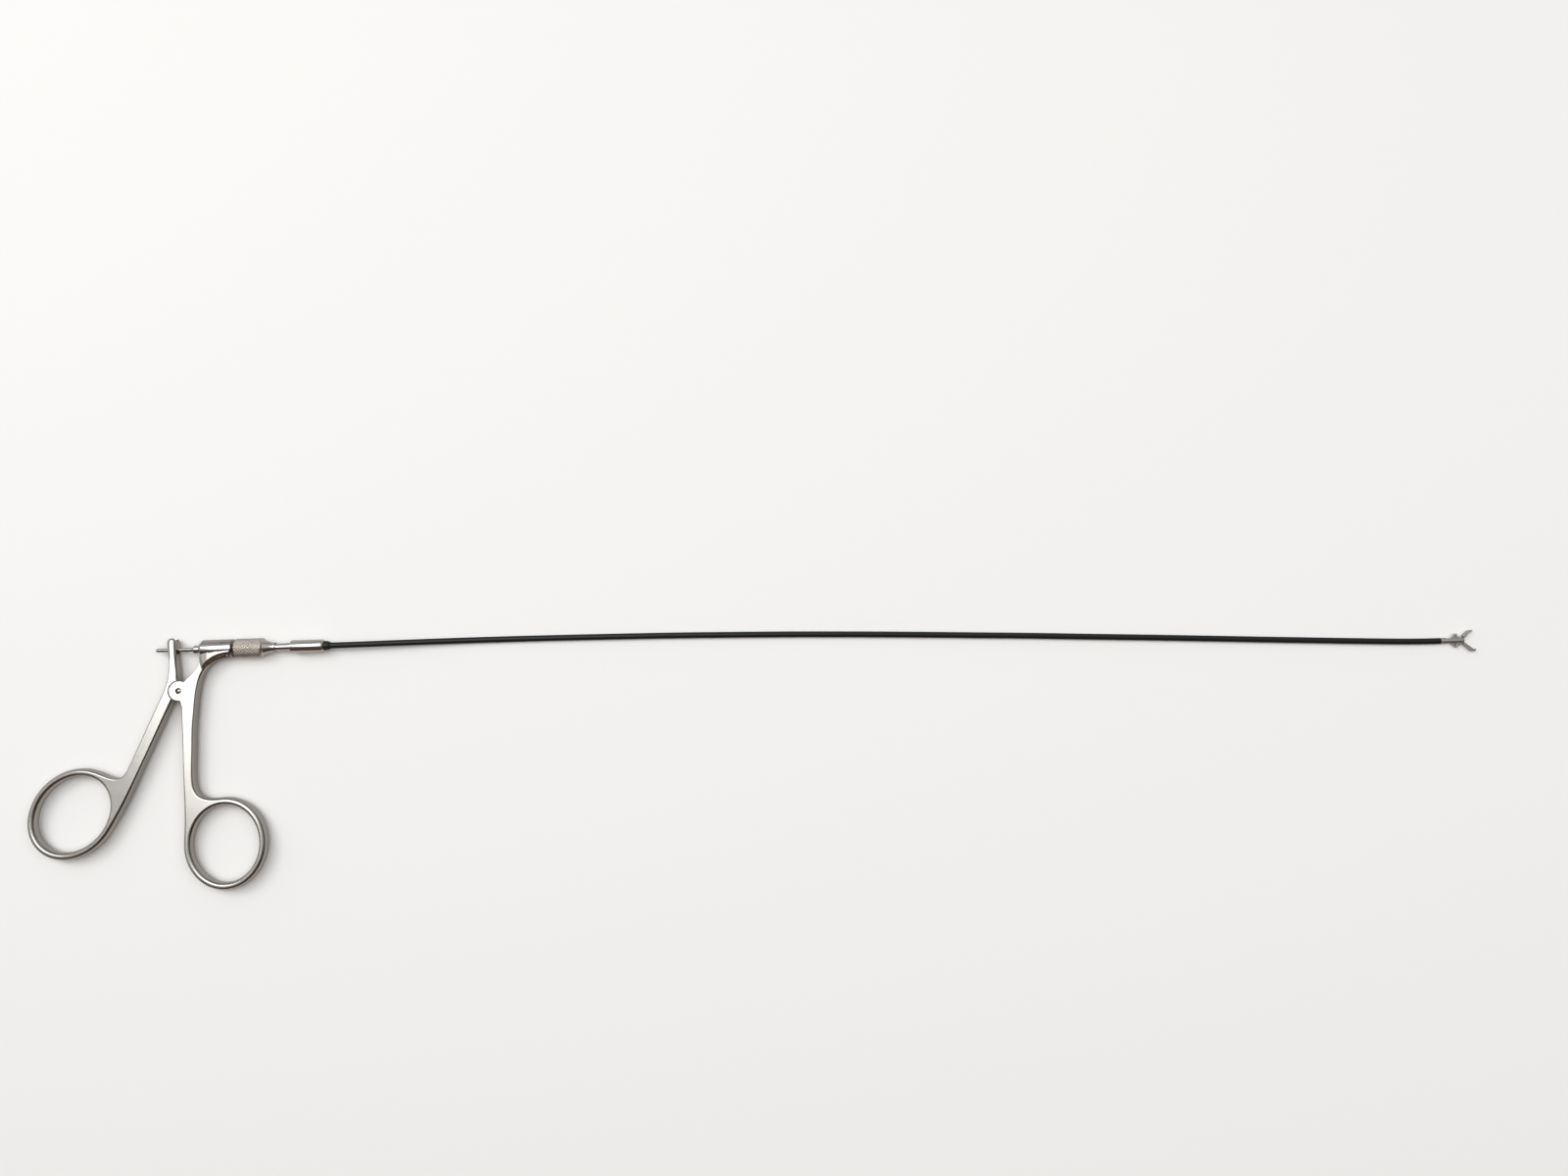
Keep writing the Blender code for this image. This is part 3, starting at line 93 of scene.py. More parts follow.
# Shaft: the jacket's size and its route from the ferrule's bead
SHEATH_REAR, SHEATH_RADIUS, SHEATH_BORE = 40.0, 0.95, 0.76
SHAFT_ROUTE = (
    (0.0, 0.0, 0.0),
    (8.0, 0.03, -0.04),
    (18.0, 0.15, -0.42),
    (28.0, 0.27, -1.05),
    (38.0, 0.36, -1.60),
    (48.0, 0.40, -1.92),
    (60.0, 0.40, -2.02),
    (75.0, 0.32, -2.03),
    (91.0, 0.18, -2.03),
    (110.0, -0.04, -2.03),
    (129.0, -0.40, -2.03),
    (148.0, -0.84, -2.03),
    (167.0, -1.42, -2.03),
    (186.0, -2.10, -2.03),
    (205.0, -2.85, -2.03),
    (224.0, -3.62, -2.03),
    (242.0, -4.45, -2.03),
    (260.0, -5.25, -2.03),
    (278.0, -6.10, -2.03),
    (296.0, -6.97, -2.03),
    (315.0, -7.86, -2.03),
    (332.0, -8.63, -2.03),
    (341.0, -8.98, -2.03),
    (348.0, -9.15, -2.03),
    (353.0, -9.18, -2.03),
)
SHAFT_END = SHAFT_EXIT + SHAFT_ROUTE[-1][0]

# Jaws, their links and the clevis: angles in degrees, lengths from the jaw pin
JAW_PIN_X = SHAFT_END + 6.7
JAW_Y = ROD_OFFSET + SHAFT_ROUTE[-1][1]
JAW_Z = AXIS_Z + SHAFT_ROUTE[-1][2]
TAIL_LENGTH, TAIL_HALF, TAIL_OPEN, JAW_SWING, LINK_LENGTH = 2.5, 0.38, 47.5, 38.0, 2.7
TAIL_ASIDE = TAIL_LENGTH * math.sin(math.radians(TAIL_OPEN))
FORK_BACK = TAIL_LENGTH * math.cos(math.radians(TAIL_OPEN)) + math.sqrt(LINK_LENGTH**2 - TAIL_ASIDE**2)
LINK_OPEN = math.degrees(math.asin(TAIL_ASIDE / LINK_LENGTH))
BLADE_NEAR, BLADE_FAR = 0.03, 0.30
JAW_HALF = 0.75
LINK_SLACK, LINK_HALF, LINK_EYE, RIVET_HOLE = 0.2, 0.3, 0.42, 0.3
JAW_PIN_HALF, JAW_PIN_RADIUS, JAW_PIN_HOLE = 0.92, 0.25, 0.28
LINK_PIN_HALF, LINK_PIN_RADIUS, LINK_PIN_HOLE = 0.53, 0.15, 0.18
CLEVIS_REAR, CLEVIS_STEP, CLEVIS_FRONT, CLEVIS_THIN, CLEVIS_RADIUS = -9.0, -6.7, 0.6, 0.72, 0.95
CLEVIS_BORE, CLEVIS_BORE_END, CLEVIS_SLOT_HALF, CLEVIS_SLOT_DEPTH = 0.6, -4.7, 0.62, 5.0
SLIDER_REAR, SLIDER_FRONT, SLIDER_RADIUS, SLIDER_GAP = -1.4, 0.4, 0.56, 0.33
WIRE_BORE, WIRE_BORE_END = 0.28, -0.7


def linear(code):
    """An sRGB hex colour as linear values with alpha."""
    parts = [int(code[i : i + 2], 16) / 255 for i in (1, 3, 5)]
    return [c / 12.92 if c <= 0.04045 else ((c + 0.055) / 1.055) ** 2.4 for c in parts] + [1.0]


def add_node(tree, kind, links=(), **values):
    """Add a node, set its properties and socket values, and link sockets into it."""
    node = tree.nodes.new(kind)
    for name, value in values.items():
        if hasattr(node, name):
            setattr(node, name, value)
        else:
            node.inputs[name.replace("_", " ")].default_value = value
    for socket, source in links:
        tree.links.new(source, node.inputs[socket])
    return node


# The broad noise that shifts a surface's roughness and tone a little
BROAD_MM = 4


def grainy(name, colour, roughness, metallic, grain_mm, bump_mm, spread=0.06, mottle=0.04):
    """A surface with a fine grain: noise of that grain size tilts it by a bump that deep, and a
    broader noise shifts its roughness and its tone a little."""
    mat = bpy.data.materials.new(name)
    mat.use_nodes = True
    tree = mat.node_tree
    shader = tree.nodes["Principled BSDF"]
    where = add_node(tree, "ShaderNodeTexCoord").outputs["Object"]
    placed = [("Vector", where)]
    fine = add_node(tree, "ShaderNodeTexNoise", placed, Scale=1 / (grain_mm * MM), Detail=2.0)
    broad = add_node(tree, "ShaderNodeTexNoise", placed, Scale=1 / (BROAD_MM * MM), Detail=3.0)
    rough = add_node(tree, "ShaderNodeMapRange", [("Value", broad.outputs["Fac"])])
    rough.inputs["To Min"].default_value = roughness - spread
    rough.inputs["To Max"].default_value = roughness + spread
    tone = add_node(tree, "ShaderNodeMix", [("Factor", broad.outputs["Fac"])], data_type="RGBA")
    base = linear(colour)
    tone.inputs["A"].default_value = [c * (1 - mottle) for c in base[:3]] + [1.0]
    tone.inputs["B"].default_value = [min(1.0, c * (1 + mottle)) for c in base[:3]] + [1.0]
    bump = add_node(tree, "ShaderNodeBump", [("Height", fine.outputs["Fac"])], Strength=1.0)
    bump.inputs["Distance"].default_value = bump_mm * MM
    tree.links.new(tone.outputs["Result"], shader.inputs["Base Color"])
    tree.links.new(rough.outputs["Result"], shader.inputs["Roughness"])
    tree.links.new(bump.outputs["Normal"], shader.inputs["Normal"])
    shader.inputs["Metallic"].default_value = metallic
    return mat


# Handles: forged stainless steel, fine bead-blasted to a satin
SATIN = grainy("stainless_bead_blasted", "#C4C1BC", 0.18, 1.0, 0.12, 0.0005, 0.03)
# Rod, neck, ferrule and pins: stainless steel turned and polished
POLISHED = grainy("stainless_turned_polished", "#D9D7D3", 0.13, 1.0, 0.2, 0.0003, 0.03, 0.02)
# Clamping nut: stainless steel with a rolled diamond knurl, its grooves dulled
KNURLED = grainy("stainless_knurled", "#DED5CB", 0.28, 1.0, 0.15, 0.001)
# Clevis, jaws and links: hardened stainless steel, duller than the handles
JAW_STEEL = grainy("stainless_hardened_jaw", "#D0CCC5", 0.40, 1.0, 0.08, 0.0015)
# Shaft jacket: black fluoropolymer shrunk over the coil
JACKET = grainy("fluoropolymer_shrink_black", "#0F0F10", 0.42, 0.0, 0.5, 0.004)
# Bead at the ferrule: black moulded nylon
BEAD = grainy("nylon_moulded_black", "#19191A", 0.34, 0.0, 0.3, 0.002)


def finished(name, verts, faces, mat, body, nodes=(), angle=32.0):
    """Make one shown piece from points in millimetres, put it on its body and let it stand for nodes."""
    mesh = bpy.data.meshes.new(name)
    mesh.from_pydata([tuple(v) for v in (np.asarray(verts, float) + SHIFT) * MM], [], faces)
    fix = bmesh.new()
    fix.from_mesh(mesh)
    bmesh.ops.remove_doubles(fix, verts=fix.verts[:], dist=0.0005 * MM)
    bmesh.ops.recalc_face_normals(fix, faces=fix.faces[:])
    fix.to_mesh(mesh)
    fix.free()
    mesh.materials.append(mat)
    mesh.shade_smooth()
    mesh.set_sharp_from_angle(angle=math.radians(angle))
    obj = bpy.data.objects.new(name, mesh)
    bpy.context.scene.collection.objects.link(obj)
    if body:
        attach(obj, body)
        if nodes:
            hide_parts(*nodes)
    return obj


def settle_normals(mesh):
    """Shade the broad flats exactly level, and let their rounded rims start from level too.

    Corners at one point that share a normal are one smooth fan. A fan with a level face in it
    gets that face's normal.
    """
    normals = [corner.vector.copy() for corner in mesh.corner_normals]
    level = {}
    for face in mesh.polygons:
        if abs(face.normal.z) > 0.9999:
            for corner in face.loop_indices:
                fan = (normals[corner].copy(), Vector((0, 0, math.copysign(1, face.normal.z))))
                level.setdefault(mesh.loops[corner].vertex_index, []).append(fan)
    for corner, loop in enumerate(mesh.loops):
        for shared, upright in level.get(loop.vertex_index, ()):
            if (normals[corner] - shared).length < 1e-4:
                normals[corner] = upright
    mesh.normals_split_custom_set(normals)


def soften(profile, radius):
    """Round every inner corner of an open profile by about that radius."""
    pts = [np.asarray(p, float) for p in profile]
    rows = [pts[0]]
    for before, here, after in zip(pts, pts[1:], pts[2:]):
        back, ahead = before - here, after - here
        reach = min(radius, 0.4 * np.linalg.norm(back), 0.4 * np.linalg.norm(ahead))
        start = here + back / np.linalg.norm(back) * reach
        end = here + ahead / np.linalg.norm(ahead) * reach
        for t in (0, 0.33, 0.67, 1):
            rows.append((1 - t) ** 2 * start + 2 * t * (1 - t) * here + t**2 * end)
    rows.append(pts[-1])
    return np.array(rows)


def peg(half, radius, edge):
    """A plain pin's profile: this long either side of its middle, its ends' edges rounded."""
    return soften(((-half, 0), (-half, radius), (half, radius), (half, 0)), edge)


def turned(profile, sides=64, axis="X", place=(0, 0, 0), closed=False):
    """Turn a profile of (along, radius) about an axis: point = along on the axis, radius round it."""
    profile = np.asarray(profile, float)
    sides = int(sides * DETAIL) // 2 * 2
    angles = 2 * np.pi * np.arange(sides) / sides
    along = np.repeat(profile[:, :1], sides, 1)
    across = profile[:, 1:] * np.cos(angles)
    up = profile[:, 1:] * np.sin(angles)
    points = np.stack([along, across, up] if axis == "X" else [across, up, along], -1)
    points = points + np.asarray(place, float)
    return points.reshape(-1, 3), grid_faces(len(profile), sides, closed)


def grid_faces(rows, columns, closed_rows=False):
    """Quads of a grid whose columns run round, and whose rows do too if closed_rows."""
    faces = []
    last = rows if closed_rows else rows - 1
    for r in range(last):
        s = (r + 1) % rows
        for c in range(columns):
            d = (c + 1) % columns
            faces.append((r * columns + c, r * columns + d, s * columns + d, s * columns + c))
    return faces


def arc(centre, radius, start, end, count):
    """Points on a circle from one angle to another."""
    angles = np.radians(np.linspace(start, end, count))
    return np.stack([centre[0] + radius * np.cos(angles), centre[1] + radius * np.sin(angles)], 1)


def oval(ring, offset, start, end, count):
    """Points on a ring's turned ellipse, its half axes longer by an offset."""
    centre, semi, turn = ring
    angles = np.radians(np.linspace(start, end, count))
    u, v = (semi[0] + offset) * np.cos(angles), (semi[1] + offset) * np.sin(angles)
    c, s = math.cos(math.radians(turn)), math.sin(math.radians(turn))
    return np.stack([centre[0] + u * c - v * s, centre[1] + u * s + v * c], 1)


def unit(vector):
    """A vector of length one."""
    vector = np.asarray(vector, float)
    return vector / np.linalg.norm(vector)


def blend(start, start_way, end, end_way, count, pull=(0.4, 0.4)):
    """A cubic curve between two points that leaves and arrives along given directions."""
    start, end = np.asarray(start, float), np.asarray(end, float)
    reach = np.linalg.norm(end - start)
    a = start + unit(start_way) * reach * pull[0]
    b = end - unit(end_way) * reach * pull[1]
    t = np.linspace(0, 1, count)[:, None]
    return (1 - t) ** 3 * start + 3 * t * (1 - t) ** 2 * a + 3 * t**2 * (1 - t) * b + t**3 * end


def outline(*stretches):
    """Join stretches of (points, edges, slants) into one loop of x, y, edge and slant.

    The few edges and slants of a stretch are spread evenly over its points.
    """
    rows = []
    for points, *values in stretches:
        values = [*values, (0.0, 0.0)][:2]
        where = np.linspace(0, 1, len(points))
        spread = [np.interp(where, np.linspace(0, 1, len(v)), v) for v in values]
        rows.append(np.column_stack([points, *spread]))
    loop = np.vstack(rows)
    step = np.linalg.norm(loop[:, :2] - np.roll(loop[:, :2], 1, axis=0), axis=1)
    return loop[step > 0.04]


def slab(outer, holes, low, high, steps=7, ratio=EDGE_HEIGHT_RATIO):
    """A flat piece with rounded or slanted edges, as points and faces.

    Each loop is (x, y, edge, slant), and the ratio is one number or a function of the loop's Y.
    The wall is a grid of loops by levels. With slant 0 a level is set in by edge (1 - cos a) at
    height half - ratio edge (1 - sin a), a quarter ellipse; with slant 1 it lies on a straight
    line as tall as wide. The two flats close the piece.
    """
    loops = [np.asarray(loop, float) for loop in [outer, *holes]]
    middle, half = (low + high) / 2, (high - low) / 2
    angles = np.linspace(0, math.pi / 2, steps + 1)
    levels = [(-1, a) for a in angles[::-1]] + [(1, a) for a in angles]
    verts, faces, caps, count = [], [], ([], []), 0
    for loop in loops:
        ahead = np.roll(loop[:, :2], -1, axis=0) - np.roll(loop[:, :2], 1, axis=0)
        ahead /= np.linalg.norm(ahead, axis=1)[:, None]
        inward = np.stack([-ahead[:, 1], ahead[:, 0]], 1)
        edge, slant = loop[:, 2], loop[:, 3]
        steep = ratio(loop[:, 1]) if callable(ratio) else ratio
        tall = np.minimum(edge * (steep + (1 - steep) * slant), half * 0.9)
        for side, angle in levels:
            share = angle / (math.pi / 2)
            inset = edge * ((1 - math.cos(angle)) * (1 - slant) + share * slant)
            below = tall * ((1 - math.sin(angle)) * (1 - slant) + (1 - share) * slant)
            z = middle + side * (half - below)
            verts.append(np.column_stack([loop[:, :2] + inward * inset[:, None], z]))
        for face in grid_faces(len(levels), len(loop)):
            faces.append(tuple(count + i for i in face))
        caps[0].append(range(count, count + len(loop)))
        caps[1].append(range(count + (len(levels) - 1) * len(loop), count + len(levels) * len(loop)))
        count += len(levels) * len(loop)
    verts = np.vstack(verts)
    for cap in caps:
        index = [i for ring in cap for i in ring]
        flat = tessellate_polygon([[Vector((*verts[i, :2], 0)) for i in ring] for ring in cap])
        faces += [tuple(index[i] for i in tri) for tri in flat]
    return verts, faces


def plain(points, edge):
    """A loop with one edge size all round."""
    points = np.asarray(points, float)
    return np.column_stack([points, np.full(len(points), float(edge)), np.zeros(len(points))])


def carve(obj, tools, angle=32.0):
    """Cut, or join for a tool named join, shapes on an object, and keep the result as its mesh."""
    for number, (kind, (verts, faces)) in enumerate(tools):
        tool = finished(f"tool_{number}", verts, faces, obj.data.materials[0], None)
        change = obj.modifiers.new("carve", "BOOLEAN")
        change.operation = "UNION" if kind == "join" else "DIFFERENCE"
        change.solver = "EXACT"
        change.object = tool
        bpy.context.view_layer.update()
        shaped = obj.evaluated_get(bpy.context.evaluated_depsgraph_get())
        mesh = bpy.data.meshes.new_from_object(shaped)
        obj.modifiers.clear()
        obj.data = mesh
        bpy.data.objects.remove(tool)
    fix = bmesh.new()
    fix.from_mesh(obj.data)
    bmesh.ops.remove_doubles(fix, verts=fix.verts[:], dist=0.002 * MM)
    bmesh.ops.recalc_face_normals(fix, faces=fix.faces[:])
    fix.to_mesh(obj.data)
    fix.free()
    obj.data.shade_smooth()
    obj.data.set_sharp_from_angle(angle=math.radians(angle))
    settle_normals(obj.data)


def drum(low, high, radius, place, axis="Z", sides=96):
    """A plain round bar."""
    return turned(((low, 0), (low, radius), (high, radius), (high, 0)), sides, axis, place)


def block(low, high):
    """A plain box between two corners."""
    x, y, z = zip(low, high)
    verts = [(x[i], y[j], z[k]) for i in (0, 1) for j in (0, 1) for k in (0, 1)]
    faces = [(0, 1, 3, 2), (4, 6, 7, 5), (0, 4, 5, 1), (2, 3, 7, 6), (0, 2, 6, 4), (1, 5, 7, 3)]
    return np.array(verts, float), faces


def lever_outline():
    """The lever in plan: forked arm, shank, ring, and the web disc about the pivot."""
    turn, start, end = math.radians(SHANK_TURN), SHANK_START, SHANK_END
    down = np.array([-math.sin(turn), -math.cos(turn)])
    left = np.array([-math.cos(turn), math.sin(turn)])

    def shank(along, side):
        return left * (SHANK_OFFSET + side * SHANK_WIDTH / 2) + down * along

    tip = np.array([ARM_X, ROD_OFFSET + ARM_TIP_REACH])
    neck = np.array([-2.2, 9.3])
    half_tip, half_neck = ARM_TIP_HALF, ARM_NECK_HALF
    ring = oval(MOVING_RING, RING_BAND / 2, 113, 378, 130)
    disc_start = math.degrees(math.atan2(*shank(start, -1)[::-1]))
    disc = arc((0, 0), WEB_DISC_RADIUS, disc_start + 4, 100, 40)
    side, round_tip = SHANK_EDGE, ARM_TIP_EDGE
    arm_left = blend(tip - (half_tip, 0), (0.02, -1), neck - (half_neck, 0), (0, -1), 12)
    arm_right = blend(neck + (half_neck, 0), (-0.1, 1), tip + (half_tip, 0), (0, 1), 12)
    return outline(
        (arc(tip, half_tip, 0, 180, 25), (round_tip, round_tip)),
        (arm_left, (round_tip, 0.9, side)),
        (blend(neck - (half_neck, 0), (0, -1), shank(start, 1), down, 16), (side, side)),
        (blend(shank(start, 1), down, shank(end, 1), down, 16), (side, side)),
        (blend(shank(end, 1), down, ring[0], ring[1] - ring[0], 30, (0.55, 0.42)), (side, RING_EDGE)),
        (ring, (RING_EDGE, RING_EDGE)),
        (blend(ring[-1], ring[-1] - ring[-2], shank(end - 2, -1), -down, 22), (RING_EDGE, side)),
        (blend(shank(end - 2, -1), -down, shank(start, -1), -down, 16), (side, side)),
        (disc, (side * 0.4, side * 0.4)),
        (blend(disc[-1] + (0, 0.6), (0, 1), neck + (half_neck, 0), (-0.1, 1), 12), (side, side)),
        (arm_right, (side, 0.9, round_tip)),
    )


def gusset_curve():
    """The hollow curve that leads from the shank's right side along the barrel."""
    end = (BARREL_REAR + 10.0, ROD_OFFSET - BARREL_RADIUS + 0.1)
    return blend(SHANK_RIGHT_TOP, (0.107, 1), end, (1, 0), 46, (0.315, 0.52))


def gusset_pad(side):
    """The gusset's raised face that runs onto the barrel, above for side 1 and below for side -1.

    A grid of sections along X. Each runs over the face, which climbs smoothly from the plate to
    its full height, then down the slanted flank to the rim of the flat, into the plate and back.
    """
    curve = gusset_curve()
    share = np.linspace(0, 1, len(curve))
    ahead = np.gradient(curve, axis=0)
    ahead /= np.linalg.norm(ahead, axis=1)[:, None]
    edges = np.interp(share, np.linspace(0, 1, len(GUSSET_EDGES)), GUSSET_EDGES)
    rim = curve + np.stack([-ahead[:, 1], ahead[:, 0]], 1) * edges[:, None]
    start, end, far = BARREL_REAR + PAD_FROM_REAR, curve[-1][0] - 0.05, ROD_OFFSET - 0.5

    def climb(across):
        part = np.clip((across - low) / PAD_RUN, 0, 1)
        return (3 * part**2 - 2 * part**3) * full

    rows = []
    for x in np.linspace(start, end, 48):
        full = np.interp(x, np.linspace(start, end, len(PAD_RISES)), PAD_RISES)
        low = PAD_START - PAD_SKEW * (x - start)
        edge, lean = np.interp(x, rim[:, 0], rim[:, 1]), np.interp(x, rim[:, 0], ahead[:, 0])
        across = np.linspace(edge, far, 400)
        face = climb(across)
        meet = np.argmax((across - edge) * lean >= face)
        crest, rise, foot = across[meet], face[meet], edge + 0.01
        if rise < 0.02:
            crest, rise, foot = low - 0.2, -0.02, low - 0.25
        across = np.linspace(far, crest, 9)
        section = [*zip(across[:-1], climb(across)), (crest, rise), (foot, min(0, rise - 0.03))]
        section += [(foot + 0.1, -PAD_SUNK), (far, -PAD_SUNK)]
        rows += [(x, y, AXIS_Z + side * (HALF_THICK + z)) for y, z in section]
    size = len(section)
    faces = [*grid_faces(len(rows) // size, size), range(size), range(len(rows) - size, len(rows))]
    return np.array(rows), [tuple(face) for face in faces]


def fixed_outline():
    """The fixed half in plan: ear, shank, ring, gusset and the web under the barrel."""
    ring = oval(FIXED_RING, RING_BAND / 2, 172, 452, 130)
    left_top, left_low = (1.05, -9.0), (1.7, -22.0)
    right_top, right_low = SHANK_RIGHT_TOP, (4.8, -22.0)
    ear = arc((0, 0), EAR_RADIUS, 62, 278, 60)
    inside = ROD_OFFSET - 0.4
    gusset = gusset_curve()
    web_start = (BARREL_REAR + 0.35, ROD_OFFSET - BARREL_RADIUS + 0.6)
    web_end = (BARREL_REAR + 0.35, ROD_OFFSET - BARREL_RADIUS - 1.3)
    side = SHANK_EDGE
    ring_right = blend(ring[-1], ring[-1] - ring[-2], right_low, (-0.02, 1), 32, (0.6, 0.62))
    return outline(
        (ear, (EAR_EDGE, EAR_EDGE)),
        (blend(ear[-1], (0.4, -1), left_top, (0.03, -1), 12), (EAR_EDGE, side)),
        (blend(left_top, (0.05, -1), left_low, (0.03, -1), 10), (side, side)),
        (blend(left_low, (0.03, -1), ring[0], ring[1] - ring[0], 20), (side, RING_EDGE)),
        (ring, (RING_EDGE, RING_EDGE)),
        (ring_right, (RING_EDGE, side)),
        (blend(right_low, (0.02, 1), right_top, (0.06, 1), 10), (side, side)),
        (gusset, GUSSET_EDGES, GUSSET_SLANTS),
        (np.array([(gusset[-1][0], inside), (BARREL_REAR + 1.2, inside)]), (side * 0.2, side * 0.2)),
        (np.array([web_start, web_end]), (side * 0.2, side * 0.5)),
        (blend(web_end, (-0.4, -1), ear[0], (-0.7, -0.75), 14)[:-1], (side * 0.5, EAR_EDGE)),
    )


def lever_ratio(y):
    """How tall the lever's edges are for their width: low at the arm's tip, which makes a dome there."""
    return np.interp(y, (9.0, 12.5), (EDGE_HEIGHT_RATIO, 0.6))


def ring_hole(ring):
    """The finger hole's loop, clockwise, with the band's rounded inner edge."""
    return plain(oval(ring, -RING_BAND / 2, 360, 0, 141)[:-1], RING_EDGE)


def key_shape(radius, outer):
    """The key pin's round bar, which leans back from upright about the barrel's axis."""
    bar = ((KEY_FOOT, 0), (KEY_FOOT, radius), (outer, radius), (outer, 0))
    verts, faces = turned(bar, 32, "Z")
    c, s = math.cos(math.radians(KEY_LEAN)), math.sin(math.radians(KEY_LEAN))
    x, y, z = verts.T
    return np.stack([x + KEY_X, y * c + z * s + ROD_OFFSET, z * c - y * s + AXIS_Z], 1), faces


def make_handle():
    """The two forged halves, their pivot pin and the trunnion in the fork."""
    low, high = AXIS_Z - HALF_THICK, AXIS_Z + HALF_THICK
    axis = (0, ROD_OFFSET, AXIS_Z)
    verts, faces = slab(fixed_outline(), [ring_hole(FIXED_RING)], low, high)
    fixed = finished("fixed_half", verts, faces, SATIN, "fixed_half", ["fixed_handle"])
    chamfer = 0.9
    barrel = soften(
        (
            (BARREL_REAR, 0),
            (BARREL_REAR, BARREL_RADIUS - chamfer),
            (BARREL_REAR + chamfer, BARREL_RADIUS),
            (BARREL_FRONT, BARREL_RADIUS),
            (BARREL_FRONT, THREAD_ROOT),
        ),
        0.12,
    )
    thread = [
        (BARREL_FRONT + THREAD_PITCH / 2 * i, THREAD_CREST if i % 2 else THREAD_ROOT)
        for i in range(1, 24)
    ]
    barrel = np.vstack([barrel, thread, [(SPIGOT_END, THREAD_ROOT), (SPIGOT_END, 0)]])
    before, beyond = BARREL_REAR - 1, SPIGOT_END + 1
    bore = (
        (before, 0),
        (before, BORE_RADIUS),
        (SOCKET_REAR, BORE_RADIUS),
        (SOCKET_REAR, SOCKET_RADIUS),
        (beyond, SOCKET_RADIUS),
        (beyond, 0),
    )
    carve(
        fixed,
        [
            ("join", turned(barrel, 80, place=axis)),
            ("join", gusset_pad(1)),
            ("join", gusset_pad(-1)),
            ("cut", turned(bore, 64, place=axis)),
            ("cut", drum(AXIS_Z - SLOT_HALF, AXIS_Z + SLOT_HALF, POCKET_RADIUS, (0, 0, 0))),
            ("cut", drum(0, 6, PIVOT_HOLE, (0, 0, 0), sides=48)),
            ("cut", key_shape(KEY_RADIUS + KEY_GAP, BARREL_RADIUS + 1)),
        ],
    )
    key = key_shape(KEY_RADIUS, BARREL_RADIUS - KEY_SUNK)
    finished("key", *key, JAW_STEEL, "fixed_half", ["key_pin"])
    verts, faces = slab(lever_outline(), [ring_hole(MOVING_RING)], low, high, 9, lever_ratio)
    lever = finished("lever_half", verts, faces, SATIN, "squeeze_lever", ["lever"])
    floor = ROD_OFFSET - 1.45
    carve(
        lever,
        [
            ("cut", drum(0, AXIS_Z - WEB_HALF, POCKET_RADIUS, (0, 0, 0))),
            ("cut", drum(AXIS_Z + WEB_HALF, 6, POCKET_RADIUS, (0, 0, 0))),
            ("cut", drum(0, 6, PIVOT_HOLE, (0, 0, 0), sides=48)),
            ("cut", block((ARM_X - 6, floor, AXIS_Z - 1), (ARM_X + 6, 25, AXIS_Z + 1))),
        ],
    )
    waist = HALF_THICK - PIVOT_SHORT - PIVOT_DOME
    dome = [
        (waist + PIVOT_DOME * math.cos(a), PIVOT_RADIUS * math.sin(a))
        for a in np.linspace(math.pi / 2, 0, 11)
    ]
    pin = [(-along, radius) for along, radius in dome[::-1]] + dome
    finished("pivot", *turned(pin, 48, "Z", (0, 0, AXIS_Z)), POLISHED, "fixed_half", ["pivot_pin"])
    swivel = turned(peg(SWIVEL_HALF, SWIVEL_RADIUS, 0.1), 48, "Z", (ARM_X, ROD_OFFSET, AXIS_Z))
    finished("swivel", *swivel, POLISHED, "pull_set", ["rod_trunnion"])


def make_barrel_line():
    """Everything turned along the barrel's axis: rod, nut, neck, ferrule and bead."""
    axis = (0, ROD_OFFSET, AXIS_Z)
    tail_end, thin, shoulder, front = ARM_X - ARM_TIP_HALF - TAIL_BEHIND_FORK, TAIL_RADIUS, 4.0, 16.3
    nose = [
        (tail_end + thin * (1 - math.cos(a)), thin * math.sin(a)) for a in np.linspace(0, math.pi / 2, 7)
    ]
    cone = [nose[-1], (shoulder - 0.6, thin), (shoulder, ROD_RADIUS)]
    body = soften([*cone, (front, ROD_RADIUS), (front, 0)], 0.12)
    rod = turned(np.vstack([nose[:-1], body]), 48, place=axis)
    finished("rod", *rod, POLISHED, "pull_set", ["pull_rod"])
    nut = finished("nut", *knurled_nut(axis), KNURLED, "clamp", ["clamp_nut"], angle=50)
    nut.data.materials.append(POLISHED)
    for face in nut.data.polygons:
        face.material_index = int(face.center.x / MM - SHIFT[0] > NOSE_START - 0.01)
    neck = (
        (NECK_REAR, NECK_BORE),
        (NECK_REAR, NECK_RADIUS),
        (NECK_FRONT, NECK_RADIUS),
        (NECK_FRONT, NECK_BORE),
    )
    tube = turned(soften(neck, 0.05), 64, place=axis, closed=True)
    finished("neck", *tube, POLISHED, "fixed_half", ["neck_tube"])
    ferrule = soften(
        (
            (FERRULE_REAR + 0.5, 1.2),
            (FERRULE_REAR, 1.2),
            (FERRULE_REAR, FERRULE_RADIUS),
            (FERRULE_FRONT - 0.6, FERRULE_RADIUS),
            (FERRULE_FRONT, FERRULE_RADIUS - 0.3),
            (FERRULE_FRONT, 1.0),
            (FERRULE_FRONT - 0.5, 1.0),
        ),
        0.15,
    )
    finished("ferrule_turned", *turned(ferrule, 64, place=axis), POLISHED, "fixed_half", ["ferrule"])
    bead = soften(
        (
            (BEAD_REAR + 0.3, 1.0),
            (BEAD_REAR, 1.0),
            (BEAD_REAR, 1.5),
            (BEAD_REAR + 1.0, 1.46),
            (SHAFT_EXIT, 1.15),
            (SHAFT_EXIT, 1.0),
            (SHAFT_EXIT - 0.3, 1.0),
        ),
        0.25,
    )
    finished("bead", *turned(bead, 48, place=axis), BEAD, "fixed_half", ["strain_bead"])


